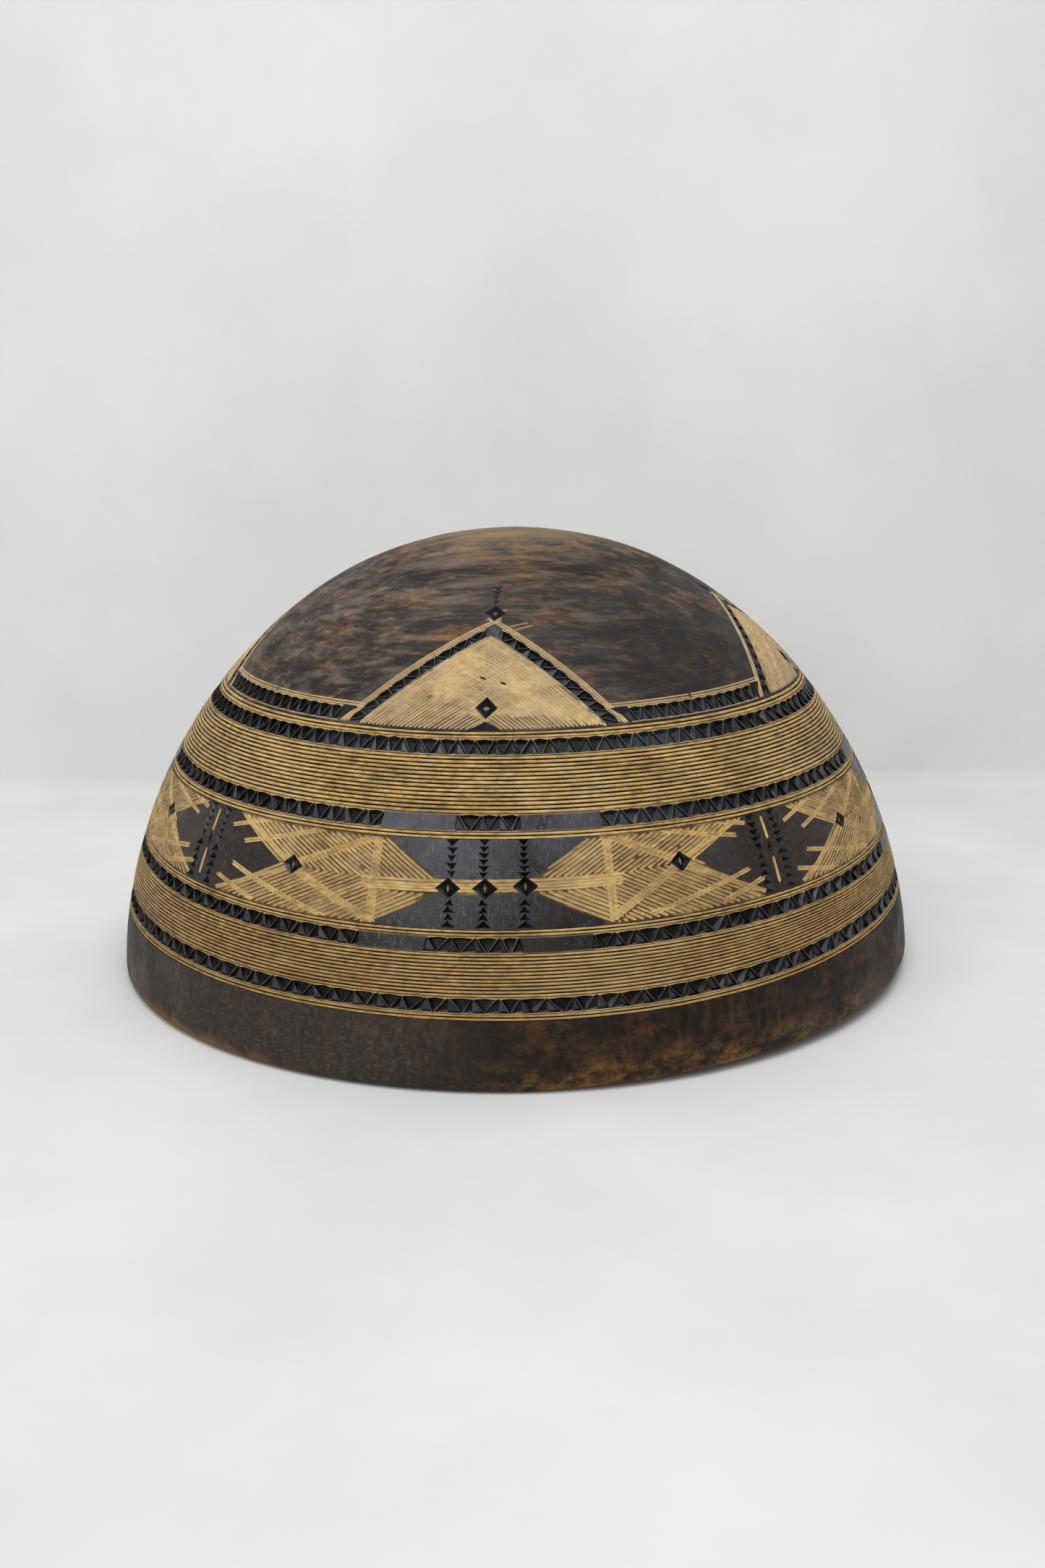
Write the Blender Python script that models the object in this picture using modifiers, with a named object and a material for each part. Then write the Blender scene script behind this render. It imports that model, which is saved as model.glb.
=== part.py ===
"""A carved wooden bowl turned upside down, so that its dome is up and its rim is on the ground.

It is one block of wood: a deep, nearly hemispherical wall with a thick rounded rim. The rim is flat
except along one side, where it rises a little, as on a bowl whose edge has worn or warped. The
crown has a small worn flat, which is the foot when the bowl is used the right way up.

Units are metres. The axis of the bowl is Z, the rim is on z = 0 and +Z points out of the crown.
"""

import math

import bmesh
import bpy
from mathutils import Matrix

# Outside of the bowl.
OUTER_RADIUS = 0.170
HEIGHT = 0.181
FOOT_RADIUS = 0.014

# Both outlines are superellipses. These powers say how full they are towards the side and the crown.
SIDE_POWER = 2.05
CROWN_POWER = 1.776

# Thickness of the wood.
RIM_THICKNESS = 0.012
CROWN_THICKNESS = 0.014

# Rounding of the rim's two edges.
RIM_OUTER_ROUND = 0.004
RIM_INNER_ROUND = 0.0025

# Where the rim rises off the ground: how far, towards which side, and how far from the axis it starts.
RIM_RISE = 0.0045
RISE_ANGLE = math.radians(-25)
RISE_START = 0.034

# How finely the round shapes are cut into flats.
TURN_STEPS = 96
OUTSIDE_STEPS = 18
INSIDE_STEPS = 12
ROUND_STEPS = 4

# Finish of the stained wood.
WOOD_COLOUR = (0.16, 0.085, 0.035, 1.0)
WOOD_ROUGHNESS = 0.5


def clear_scene():
    for item in list(bpy.data.objects):
        bpy.data.objects.remove(item, do_unlink=True)


def new_collection(name):
    collection = bpy.data.collections.new(name)
    bpy.context.scene.collection.children.link(collection)
    return collection


def wood_material():
    material = bpy.data.materials.new("stained_wood")
    material.use_nodes = True
    shader = material.node_tree.nodes["Principled BSDF"]
    shader.inputs["Base Color"].default_value = WOOD_COLOUR
    shader.inputs["Roughness"].default_value = WOOD_ROUGHNESS
    shader.inputs["Metallic"].default_value = 0.0
    return material


def dome_point(radius, height, lift):
    """Radius and height of an outline at one lift angle: 0 is its edge and a right angle its top."""
    across = radius * math.cos(lift) ** (2 / SIDE_POWER)
    up = height * math.sin(lift) ** (2 / CROWN_POWER)
    return across, up


def lift_at_radius(radius, across):
    return math.acos((across / radius) ** (SIDE_POWER / 2))


def lift_at_height(height, up):
    return math.asin((up / height) ** (CROWN_POWER / 2))


def dome_arc(radius, height, first, last, steps):
    """Points of an outline from one lift angle to another."""
    lifts = [first + (last - first) * i / steps for i in range(steps + 1)]
    return [dome_point(radius, height, lift) for lift in lifts]


def rim_round(centre_radius, edge_round, first, last):
    """Points of a rounded rim edge whose underside touches the ground."""
    angles = [first + (last - first) * i / ROUND_STEPS for i in range(ROUND_STEPS + 1)]
    return [
        (centre_radius + edge_round * math.cos(a), edge_round + edge_round * math.sin(a))
        for a in angles
    ]


def bowl_profile():
    """The wall's section, from the top of the axis down the outside and back up the inside."""
    foot_lift = lift_at_radius(OUTER_RADIUS, FOOT_RADIUS)
    apex = HEIGHT / math.sin(foot_lift) ** (2 / CROWN_POWER)
    outer_end = lift_at_height(apex, RIM_OUTER_ROUND)
    outside = dome_arc(OUTER_RADIUS, apex, foot_lift, outer_end, OUTSIDE_STEPS)
    outer_centre = outside[-1][0] - RIM_OUTER_ROUND
    outer_round = rim_round(outer_centre, RIM_OUTER_ROUND, 0.0, -math.pi / 2)

    inner_radius = OUTER_RADIUS - RIM_THICKNESS
    inner_height = HEIGHT - CROWN_THICKNESS
    inner_start = lift_at_height(inner_height, RIM_INNER_ROUND)
    inside = dome_arc(inner_radius, inner_height, inner_start, math.pi / 2, INSIDE_STEPS)
    inner_centre = inside[0][0] + RIM_INNER_ROUND
    inner_round = rim_round(inner_centre, RIM_INNER_ROUND, -math.pi / 2, -math.pi)

    top = [(0.0, HEIGHT)]
    bottom = [(0.0, inner_height)]
    return top + outside + outer_round[1:] + inner_round + inside[1:-1] + bottom


def turned_body(name, profile, collection):
    """A profile at +X turned once round Z."""
    mesh = bpy.data.meshes.new(name)
    shape = bmesh.new()
    points = [shape.verts.new((across, 0.0, up)) for across, up in profile]
    for start, end in zip(points, points[1:]):
        shape.edges.new((start, end))
    shape.to_mesh(mesh)
    shape.free()
    body = bpy.data.objects.new(name, mesh)
    collection.objects.link(body)
    turn = body.modifiers.new("turn", "SCREW")
    turn.axis = "Z"
    turn.angle = 2 * math.pi
    turn.steps = TURN_STEPS
    turn.render_steps = TURN_STEPS
    turn.use_merge_vertices = True
    turn.merge_threshold = 0.00005
    turn.use_smooth_shade = True
    return body


def rise_cutter(collection):
    """A block whose top slopes up from a line across the rim, out to the side that rises."""
    reach = OUTER_RADIUS - RISE_START
    slope = math.atan2(RIM_RISE, reach)
    length = 2 * OUTER_RADIUS
    depth = OUTER_RADIUS / 4
    shape = bmesh.new()
    bmesh.ops.create_cube(shape, size=1.0)
    bmesh.ops.scale(shape, vec=(length, 3 * OUTER_RADIUS, depth), verts=shape.verts)
    bmesh.ops.translate(shape, vec=(length / 2, 0.0, -depth / 2), verts=shape.verts)
    mesh = bpy.data.meshes.new("rim_rise_cutter")
    shape.to_mesh(mesh)
    shape.free()
    cutter = bpy.data.objects.new("rim_rise_cutter", mesh)
    tilt = Matrix.Rotation(-slope, 4, "Y")
    cutter.matrix_world = (
        Matrix.Rotation(RISE_ANGLE, 4, "Z") @ Matrix.Translation((RISE_START, 0.0, 0.0)) @ tilt
    )
    cutter.display_type = "WIRE"
    cutter.hide_render = True
    collection.objects.link(cutter)
    return cutter


def cut(body, cutter):
    trim = body.modifiers.new(cutter.name, "BOOLEAN")
    trim.operation = "DIFFERENCE"
    trim.solver = "EXACT"
    trim.object = cutter


def main():
    clear_scene()
    parts = new_collection("carved_bowl")
    cutters = new_collection("cutters")
    cutters.hide_render = True

    bowl = turned_body("bowl", bowl_profile(), parts)
    bowl.data.materials.append(wood_material())
    cut(bowl, rise_cutter(cutters))


main()
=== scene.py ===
"""A carved wooden bowl that rests on its rim, dome up.

The bowl is one block of wood, so every piece here is a part of its surface: the hollow inside, a
plain rim band, ribbed bands, bands of chip-carved teeth, a frieze of knife-cut hatching with burnt
panels, a band with four hatched triangles, and the plain worn crown.

Each piece is laid out flat first: x is the turn round the bowl in radians, y is the distance up the
wall from the rim and z is how far it stands proud, both in metres. One tree of nodes then wraps it
on the dome. Turn 0 faces -Y and a positive turn goes towards +X.
"""

import math

import bpy
import numpy as np
from mathutils import Matrix, Vector
from mathutils.geometry import delaunay_2d_cdt

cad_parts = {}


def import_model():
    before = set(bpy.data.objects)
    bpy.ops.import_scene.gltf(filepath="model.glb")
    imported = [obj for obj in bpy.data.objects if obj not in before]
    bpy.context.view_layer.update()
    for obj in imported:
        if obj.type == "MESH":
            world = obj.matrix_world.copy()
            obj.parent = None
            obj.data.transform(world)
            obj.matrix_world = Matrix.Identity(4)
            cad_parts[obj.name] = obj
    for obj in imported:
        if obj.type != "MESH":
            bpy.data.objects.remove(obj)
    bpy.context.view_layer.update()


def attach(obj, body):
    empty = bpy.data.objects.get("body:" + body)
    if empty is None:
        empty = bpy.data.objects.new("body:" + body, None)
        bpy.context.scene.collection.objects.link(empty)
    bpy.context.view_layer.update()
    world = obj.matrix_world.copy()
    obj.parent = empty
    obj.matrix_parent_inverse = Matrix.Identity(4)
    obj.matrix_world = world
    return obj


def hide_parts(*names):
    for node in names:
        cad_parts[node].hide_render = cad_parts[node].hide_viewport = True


MM = 0.001
FULL_TURN = 2 * math.pi

# The dome's outline, as the bowl is turned.
OUTER_RADIUS = 0.170
HEIGHT = 0.181
SIDE_POWER = 2.05
CROWN_POWER = 1.776

# The wall's thickness, and the rounding of the rim's two edges.
RIM_THICKNESS = 0.012
CROWN_THICKNESS = 0.014
RIM_OUTER_ROUND = 0.0032
RIM_INNER_ROUND = 0.0025

# Where the rim lifts off the ground.
RIM_RISE = 0.0031
RISE_TURN = math.radians(65)
RISE_START = 0.075
RISE_FADE = 0.024

# The bands wander up and down a little, as they were laid out by eye.
BAND_WANDER = 0.0020
WANDER_TURN = math.radians(-8)
WANDER_SHARE = (
    (0.0, 0.0), (0.10, 0.5), (0.21, 1.0), (0.33, 0.4), (0.45, 0.35), (0.5, 0.7), (0.75, 0.0), (1.0, 0.0),
)  # fmt: skip

# The lowest bands climb towards one side, so that the ribs above them narrow there.
LOW_SWING = 0.0042
LOW_SWING_TURN = math.radians(75)
LOW_SWING_SHARE = ((0.0, 0.0), (0.098, 1.0), (0.130, 1.0), (0.185, 0.0), (1.0, 0.0))

# How thick each surface piece is behind its surface, and how deep the body under them lies.
BACKING = 0.003
BODY_DEPTH = 0.0026

# Where each band starts up the wall.
LOW_LINES = 0.0265
LOW_TEETH = 0.0290
LOW_RIBS = 0.0347
MIDDLE_TEETH = 0.0500
FRIEZE_LINES = 0.0558
FRIEZE = 0.0583
FRIEZE_TOP_LINES = 0.0900
UPPER_TEETH = 0.0928
UPPER_RIBS = 0.0993
TOP_TEETH = 0.1213
TOP_LINES = 0.1280
TRIANGLES = 0.1310
CROWN = 0.2050

BACK_COLUMNS = 46
BACK_ROWS = 12

TOOTH_DEPTH = 0.0016
TEETH_ROUND = 120

# How black a face is: its char, with painted shade added in the pits, and one look that is a
# painted blue-grey sheen. The finishes tell these looks apart.
PANEL_BLACK = 1.0
# Pits are charred black, and their finish adds painted shade.
PIT_BLACK = 0.9
# This look is no char: it is a painted highlight, a blue-grey sheen on some facets.
PAINTED_SHEEN_LOOK = 0.8
HEXAGON_BLACK = 0.45

# The hatching's strokes, in millimetres: their pitch and half width, and how deep every fine cut is.
FRIEZE_HATCH = (1.42, 0.46)
TRIANGLE_HATCH = (1.34, 0.44)
FINE_DEPTH = 0.30

SHARP = math.radians(24)

# One turn of the frieze holds four repeats. The front one was laid out a little narrower.
FRIEZE_SPANS = ((-50.15, 37.6), (37.6, 128.35), (128.35, 219.1), (219.1, 309.85))
FRIEZE_PER_DEGREE = 2.757

# Each triangle's base, from its left to its right corner, in degrees.
TRIANGLE_BASES = ((-31.0, 20.0), (52.5, 103.5), (140.0, 191.0), (238.0, 289.0))
PIECE_NAMES = ("front", "right", "back", "left")


def dome_outline(steps=4000):
    """Radius, height and distance up the wall of points along the dome's outline."""
    lift = np.linspace(0.0, math.pi / 2, steps + 1)
    across = OUTER_RADIUS * np.clip(np.cos(lift), 0.0, 1.0) ** (2 / SIDE_POWER)
    up = HEIGHT * np.sin(lift) ** (2 / CROWN_POWER)
    climb = np.concatenate([[0.0], np.cumsum(np.hypot(np.diff(across), np.diff(up)))])
    return across, up, climb


OUT_ACROSS, OUT_UP, OUT_CLIMB = dome_outline()
DOME_LENGTH = float(OUT_CLIMB[-1])


# ---------------------------------------------------------------- node helpers


def feed(tree, socket, value):
    """Feeds an input from another socket, or sets it to a plain value."""
    if isinstance(value, bpy.types.NodeSocket):
        tree.links.new(value, socket)
    elif value is not None:
        socket.default_value = value


def add(tree, kind, feeds=(), **settings):
    """A new node with its settings, and its inputs fed from sockets or plain values."""
    made = tree.nodes.new(kind)
    for name, value in settings.items():
        setattr(made, name, value)
    for slot, value in feeds.items() if isinstance(feeds, dict) else enumerate(feeds):
        feed(tree, made.inputs[slot], value)
    return made


def calc(tree, operation, *values):
    """The result of one operation."""
    return add(tree, "ShaderNodeMath", values, operation=operation).outputs[0]


def times(tree, a, b):
    """The product of two values."""
    return calc(tree, "MULTIPLY", a, b)


def plus(tree, a, b):
    """The sum of two values."""
    return calc(tree, "ADD", a, b)


def minus(tree, a, b):
    """The first value less the second."""
    return calc(tree, "SUBTRACT", a, b)


def clamped(tree, operation, *values):
    """The result of one operation, kept from 0 to 1."""
    return add(tree, "ShaderNodeMath", values, operation=operation, use_clamp=True).outputs[0]


def join_xyz(tree, x, y, z):
    """A place from its three parts."""
    return add(tree, "ShaderNodeCombineXYZ", (x, y, z)).outputs[0]


def new_geometry_tree(name, inputs):
    """A tree with one mesh out and the named inputs, as (name, kind, value)."""
    tree = bpy.data.node_groups.new(name, "GeometryNodeTree")
    for label, kind, value in inputs:
        socket = tree.interface.new_socket(label, in_out="INPUT", socket_type="NodeSocket" + kind)
        if value is not None:
            socket.default_value = value
    tree.interface.new_socket("Mesh", in_out="OUTPUT", socket_type="NodeSocketGeometry")
    return tree, tree.nodes.new("NodeGroupInput").outputs, tree.nodes.new("NodeGroupOutput").inputs


def curve_points(node, points):
    """Sets a curve node's points, from left to right."""
    curve = node.mapping.curves[0]
    curve.points[0].location = points[0]
    curve.points[-1].location = points[-1]
    for point in points[1:-1]:
        curve.points.new(*point)
    node.mapping.update()


def plain_noise(tree, vector, scale, detail=2.0):
    """Smooth noise, for shapes."""
    return add(tree, "ShaderNodeTexNoise", {"Vector": vector, "Scale": scale, "Detail": detail}).outputs[0]


def round_place(tree, turn, up, radius=OUTER_RADIUS):
    """A place on a plain cylinder, so that noise read from it joins up all the way round."""
    x = times(tree, calc(tree, "SINE", turn), radius)
    y = times(tree, calc(tree, "COSINE", turn), -radius)
    return join_xyz(tree, x, y, up)


# ---------------------------------------------------------------- wrapping on the dome


def outline_curve(tree):
    """The dome's outline as a curve, from the rim up to the axis."""
    line = add(tree, "GeometryNodeCurvePrimitiveLine", {"Start": (0, 0, 0), "End": (1, 0, 0)})
    fine = add(tree, "GeometryNodeResampleCurve", {"Curve": line.outputs[0], "Count": 1500})
    share = add(tree, "ShaderNodeSeparateXYZ", [tree.nodes.new("GeometryNodeInputPosition").outputs[0]])
    lift = times(tree, share.outputs[0], math.pi / 2)
    cosine = calc(tree, "MAXIMUM", calc(tree, "COSINE", lift), 0.0)
    sine = calc(tree, "MAXIMUM", calc(tree, "SINE", lift), 0.0)
    across = times(tree, calc(tree, "POWER", cosine, 2 / SIDE_POWER), OUTER_RADIUS)
    up = times(tree, calc(tree, "POWER", sine, 2 / CROWN_POWER), HEIGHT)
    shaped = add(
        tree,
        "GeometryNodeSetPosition",
        {"Geometry": fine.outputs[0], "Position": join_xyz(tree, across, 0.0, up)},
    )
    return shaped.outputs[0]


def wrap_group():
    """Takes a flat layout of turn, distance up and how far proud, and wraps it on the dome."""
    tree, given, result = new_geometry_tree("wrap_on_dome", [("Mesh", "Geometry", None)])
    flat = add(tree, "ShaderNodeSeparateXYZ", [tree.nodes.new("GeometryNodeInputPosition").outputs[0]])
    turn, up, proud = flat.outputs

    swing = calc(tree, "COSINE", times(tree, minus(tree, turn, WANDER_TURN), 2.0))
    share = add(tree, "ShaderNodeFloatCurve", {"Value": calc(tree, "DIVIDE", up, DOME_LENGTH)})
    curve_points(share, WANDER_SHARE)
    wander = times(tree, minus(tree, 1.0, swing), BAND_WANDER)
    low_share = add(tree, "ShaderNodeFloatCurve", {"Value": calc(tree, "DIVIDE", up, DOME_LENGTH)})
    curve_points(low_share, LOW_SWING_SHARE)
    toward = calc(tree, "COSINE", minus(tree, turn, LOW_SWING_TURN))
    toward = calc(tree, "POWER", calc(tree, "MAXIMUM", toward, 0.0), 4.0)
    climb = times(tree, times(tree, toward, LOW_SWING), low_share.outputs[0])
    up = plus(tree, up, times(tree, wander, share.outputs[0]))
    up = plus(tree, up, climb)

    sample = add(
        tree, "GeometryNodeSampleCurve", {"Curves": outline_curve(tree), "Length": up}, mode="LENGTH"
    )
    spot = add(tree, "ShaderNodeSeparateXYZ", [sample.outputs["Position"]]).outputs
    slope = add(tree, "ShaderNodeSeparateXYZ", [sample.outputs["Tangent"]]).outputs

    # The hand-worked surface is never quite true. The rim's foot stays true, where it rests.
    place = round_place(tree, turn, spot[2], 1.0)
    place = add(
        tree,
        "ShaderNodeVectorMath",
        [place, join_xyz(tree, spot[0], spot[0], 1.0)],
        operation="MULTIPLY",
    ).outputs[0]
    broad = times(tree, minus(tree, plain_noise(tree, place, 11.0), 0.5), 0.0016)
    small = times(tree, minus(tree, plain_noise(tree, place, 70.0), 0.5), 0.0004)
    steady = clamped(tree, "MULTIPLY", minus(tree, spot[2], 0.004), 60.0)
    uneven = times(tree, plus(tree, broad, small), steady)
    proud = plus(tree, proud, uneven)

    across = plus(tree, spot[0], times(tree, proud, slope[2]))
    across = calc(tree, "MAXIMUM", across, 0.0)
    height = minus(tree, spot[2], times(tree, proud, slope[0]))

    # The rim rises towards one side, and the wall above it gives way to it.
    toward = calc(tree, "COSINE", minus(tree, turn, RISE_TURN))
    reach = minus(tree, times(tree, across, toward), RISE_START)
    slant = RIM_RISE / (OUTER_RADIUS - RISE_START)
    lift = times(tree, calc(tree, "MAXIMUM", reach, 0.0), slant)
    near = clamped(tree, "SUBTRACT", 1.0, calc(tree, "DIVIDE", height, RISE_FADE))
    height = plus(tree, height, times(tree, lift, near))

    x = times(tree, across, calc(tree, "SINE", turn))
    y = times(tree, times(tree, across, -1.0), calc(tree, "COSINE", turn))
    wrapped = add(
        tree, "GeometryNodeSetPosition", {"Geometry": given[0], "Position": join_xyz(tree, x, y, height)}
    )
    tree.links.new(wrapped.outputs[0], result[0])
    return tree


def end_tree(tree, result, mesh, wrap, material, seam=True):
    """Wraps the mesh, joins what meets at a seam, and ends the tree as a plain mesh with its finish."""
    wrapped = add(tree, "GeometryNodeGroup", node_tree=wrap)
    tree.links.new(mesh, wrapped.inputs[0])
    closed = wrapped.outputs[0]
    if seam:
        joined = add(tree, "GeometryNodeMergeByDistance", {"Geometry": closed, "Distance": 0.00001})
        faces = tree.nodes.new("GeometryNodeInputMeshEdgeNeighbors").outputs[0]
        loose = calc(tree, "LESS_THAN", faces, 0.5)
        cleared = add(
            tree,
            "GeometryNodeDeleteGeometry",
            {"Geometry": joined.outputs[0], "Selection": loose},
            domain="EDGE",
            mode="EDGE_FACE",
        )
        closed = cleared.outputs[0]
    plain = add(tree, "GeometryNodeRealizeInstances", [closed])
    finished = add(tree, "GeometryNodeSetMaterial", {"Geometry": plain.outputs[0], "Material": material})
    tree.links.new(finished.outputs[0], result[0])


# ---------------------------------------------------------------- the trees


def ribbed_band_tree(wrap):
    """A closed ring whose face is plain or has ribs along it, parted by narrow grooves."""
    tree, given, result = new_geometry_tree(
        "ribbed_band",
        [
            ("Lower edge", "Float", 0.0),
            ("Upper edge", "Float", 0.01),
            ("Ribs", "Int", 1),
            ("Rows on a rib", "Int", 6),
            ("Columns", "Int", 480),
            ("Groove depth", "Float", 0.0),
            ("Roundness", "Float", 0.45),
            ("Rib waver", "Float", 0.0),
            ("Edge round", "Float", 0.0),
            ("Backing", "Float", BACKING),
            ("Seed", "Float", 1.0),
            ("Finish", "Material", None),
        ],
    )
    low, high, ribs, rows, columns, depth, roundness, waver, edge_round, backing, seed, finish = given[:12]
    steps = times(tree, ribs, rows)
    last = plus(tree, steps, 3.0)
    grid = add(
        tree,
        "GeometryNodeMeshGrid",
        {
            "Size X": FULL_TURN,
            "Size Y": 1.0,
            "Vertices X": plus(tree, columns, 1.0),
            "Vertices Y": plus(tree, last, 1.0),
        },
    )
    flat = add(tree, "ShaderNodeSeparateXYZ", [tree.nodes.new("GeometryNodeInputPosition").outputs[0]])
    turn = flat.outputs[0]
    row = calc(tree, "ROUND", times(tree, plus(tree, flat.outputs[1], 0.5), last))
    share = clamped(tree, "DIVIDE", minus(tree, row, 1.0), steps)
    share = times(tree, share, calc(tree, "LESS_THAN", row, minus(tree, last, 0.5)))
    face = calc(tree, "GREATER_THAN", row, 0.5)
    face = times(tree, face, calc(tree, "LESS_THAN", row, minus(tree, last, 1.5)))

    phase = calc(tree, "FRACT", plus(tree, times(tree, share, ribs), 0.0001))
    bulge = calc(tree, "POWER", calc(tree, "SINE", times(tree, phase, math.pi)), roundness)
    hollow = times(tree, minus(tree, 1.0, bulge), face)

    # Each groove wanders and runs deeper and shallower, as a knife does.
    number = calc(tree, "ROUND", times(tree, share, ribs))
    lane = plus(tree, times(tree, number, 0.37), seed)
    sway = plain_noise(tree, round_place(tree, turn, lane, 1.0), 3.0, 3.0)
    press = plain_noise(tree, round_place(tree, turn, lane, 2.0), 9.0, 3.0)
    inner = calc(tree, "MINIMUM", times(tree, share, minus(tree, 1.0, share)), 0.05)
    sway = times(tree, minus(tree, sway, 0.5), times(tree, inner, 20.0))
    strength = plus(tree, times(tree, press, 1.4), 0.3)
    cut = times(tree, times(tree, hollow, depth), strength)

    up = plus(tree, low, times(tree, share, minus(tree, high, low)))
    up = plus(tree, up, times(tree, sway, waver))
    short = calc(tree, "MAXIMUM", minus(tree, edge_round, up), 0.0)
    square = minus(tree, calc(tree, "POWER", edge_round, 2.0), calc(tree, "POWER", short, 2.0))
    fall = minus(tree, edge_round, calc(tree, "SQRT", calc(tree, "MAXIMUM", square, 0.0)))
    front = times(tree, plus(tree, cut, fall), face)
    behind = times(tree, minus(tree, 1.0, face), backing)
    proud = times(tree, plus(tree, front, behind), -1.0)

    marked = add(
        tree,
        "GeometryNodeStoreNamedAttribute",
        {"Geometry": grid.outputs[0], "Name": "groove", "Value": times(tree, hollow, strength)},
    )
    laid = add(
        tree,
        "GeometryNodeSetPosition",
        {"Geometry": marked.outputs[0], "Position": join_xyz(tree, turn, up, proud)},
    )
    end_tree(tree, result, laid.outputs[0], wrap, finish)
    return tree


def tooth_band_tree(wrap):
    """A ring of chip-carved teeth. In each repeat, some cells may be left as plain panels."""
    tree, given, result = new_geometry_tree(
        "tooth_band",
        [
            ("Tooth", "Object", None),
            ("Plain panel", "Object", None),
            ("Count", "Int", TEETH_ROUND),
            ("Start", "Float", 0.0),
            ("Lower edge", "Float", 0.0),
            ("Upper edge", "Float", 0.01),
            ("Depth", "Float", TOOTH_DEPTH),
            ("Cells in a repeat", "Int", 30),
            ("Left panel", "Int", 0),
            ("Middle teeth", "Int", 0),
            ("Right panel", "Int", 0),
            ("Finish", "Material", None),
        ],
    )
    tooth, plain, count, start, low, high, depth, repeat, left, middle, right, finish = given[:12]
    pitch = calc(tree, "DIVIDE", FULL_TURN, count)
    line = add(
        tree,
        "GeometryNodeMeshLine",
        {
            "Count": count,
            "Start Location": join_xyz(tree, start, low, 0.0),
            "Offset": join_xyz(tree, pitch, 0.0, 0.0),
        },
        mode="OFFSET",
    )
    cell = calc(tree, "MODULO", tree.nodes.new("GeometryNodeInputIndex").outputs[0], repeat)
    resume = plus(tree, left, middle)
    in_left = calc(tree, "LESS_THAN", cell, left)
    past = calc(tree, "GREATER_THAN", plus(tree, cell, 0.5), resume)
    before = calc(tree, "LESS_THAN", cell, plus(tree, resume, right))
    is_plain = calc(tree, "MAXIMUM", in_left, times(tree, past, before))
    # A panel is one long cell that starts where its first cell would.
    starts_left = times(tree, in_left, calc(tree, "LESS_THAN", cell, 0.5))
    starts_right = calc(tree, "COMPARE", cell, resume, 0.5)
    starts_right = times(tree, starts_right, calc(tree, "GREATER_THAN", right, 0.5))
    long_left = times(tree, starts_left, left)
    long_right = times(tree, starts_right, right)
    cells_long = plus(tree, long_left, long_right)
    tall = minus(tree, high, low)
    both = tree.nodes.new("GeometryNodeJoinGeometry")
    for kind, chosen, wide in (
        (tooth, minus(tree, 1.0, is_plain), pitch),
        (plain, calc(tree, "GREATER_THAN", cells_long, 0.5), times(tree, pitch, cells_long)),
    ):
        shape = add(tree, "GeometryNodeObjectInfo", {"Object": kind})
        size = join_xyz(tree, wide, tall, depth)
        placed = add(
            tree,
            "GeometryNodeInstanceOnPoints",
            {
                "Points": line.outputs[0],
                "Selection": chosen,
                "Instance": shape.outputs["Geometry"],
                "Scale": size,
            },
        )
        tree.links.new(placed.outputs[0], both.inputs[0])
    real = add(tree, "GeometryNodeRealizeInstances", [both.outputs[0]])
    joined = add(tree, "GeometryNodeMergeByDistance", {"Geometry": real.outputs[0], "Distance": 0.000005})

    # No two teeth are alike: each leans and shifts along the band, and its cuts are never straight.
    flat = add(tree, "ShaderNodeSeparateXYZ", [tree.nodes.new("GeometryNodeInputPosition").outputs[0]])
    turn, up, proud = flat.outputs
    shift = plain_noise(tree, round_place(tree, turn, up), 90.0)
    shift = times(tree, minus(tree, shift, 0.5), times(tree, pitch, 0.75))
    ragged = minus(tree, plain_noise(tree, round_place(tree, turn, up), 330.0), 0.5)
    shift = plus(tree, shift, times(tree, ragged, times(tree, pitch, 0.55)))
    share = calc(tree, "DIVIDE", minus(tree, up, low), minus(tree, high, low))
    inner = times(tree, share, minus(tree, 1.0, share))
    nudge = minus(tree, plain_noise(tree, round_place(tree, turn, 5.0), 400.0), 0.5)
    up = plus(tree, up, times(tree, nudge, times(tree, inner, 0.0090)))
    deeper = plain_noise(tree, round_place(tree, turn, up), 260.0)
    deeper = plus(tree, times(tree, deeper, 1.3), 0.4)
    turn = plus(tree, turn, shift)
    proud = times(tree, proud, deeper)
    place = join_xyz(tree, turn, up, proud)
    moved = add(tree, "GeometryNodeSetPosition", {"Geometry": joined.outputs[0], "Position": place})
    end_tree(tree, result, moved.outputs[0], wrap, finish)
    return tree


def carved_sheet_tree(wrap):
    """A flat carved sheet, wrapped."""
    tree, given, result = new_geometry_tree(
        "carved_sheet", [("Mesh", "Geometry", None), ("Finish", "Material", None)]
    )
    end_tree(tree, result, given[0], wrap, given[1], seam=False)
    return tree


def apply_tree(name, tree, values, mesh=None):
    """The mesh that a tree makes, as a plain object in its place."""
    blank = bpy.data.objects.new(name + "_layout", mesh or bpy.data.meshes.new(name + "_layout"))
    bpy.context.scene.collection.objects.link(blank)
    maker = blank.modifiers.new(tree.name, "NODES")
    maker.node_group = tree
    for item in tree.interface.items_tree:
        if item.in_out == "INPUT" and item.name in values:
            maker[item.identifier] = values[item.name]
    graph = bpy.context.evaluated_depsgraph_get()
    made = bpy.data.meshes.new_from_object(
        blank.evaluated_get(graph), preserve_all_data_layers=True, depsgraph=graph
    )
    blank.modifiers.remove(maker)
    bpy.data.objects.remove(blank)
    made.name = name
    piece = bpy.data.objects.new(name, made)
    bpy.context.scene.collection.objects.link(piece)
    return piece


def finish_piece(piece, sharp=SHARP):
    """Shades the piece and ties it to the bowl."""
    piece.data.shade_smooth()
    piece.data.set_sharp_from_angle(angle=sharp)
    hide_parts("bowl")
    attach(piece, "root")
    return piece


# ---------------------------------------------------------------- cutting a flat sheet


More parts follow.
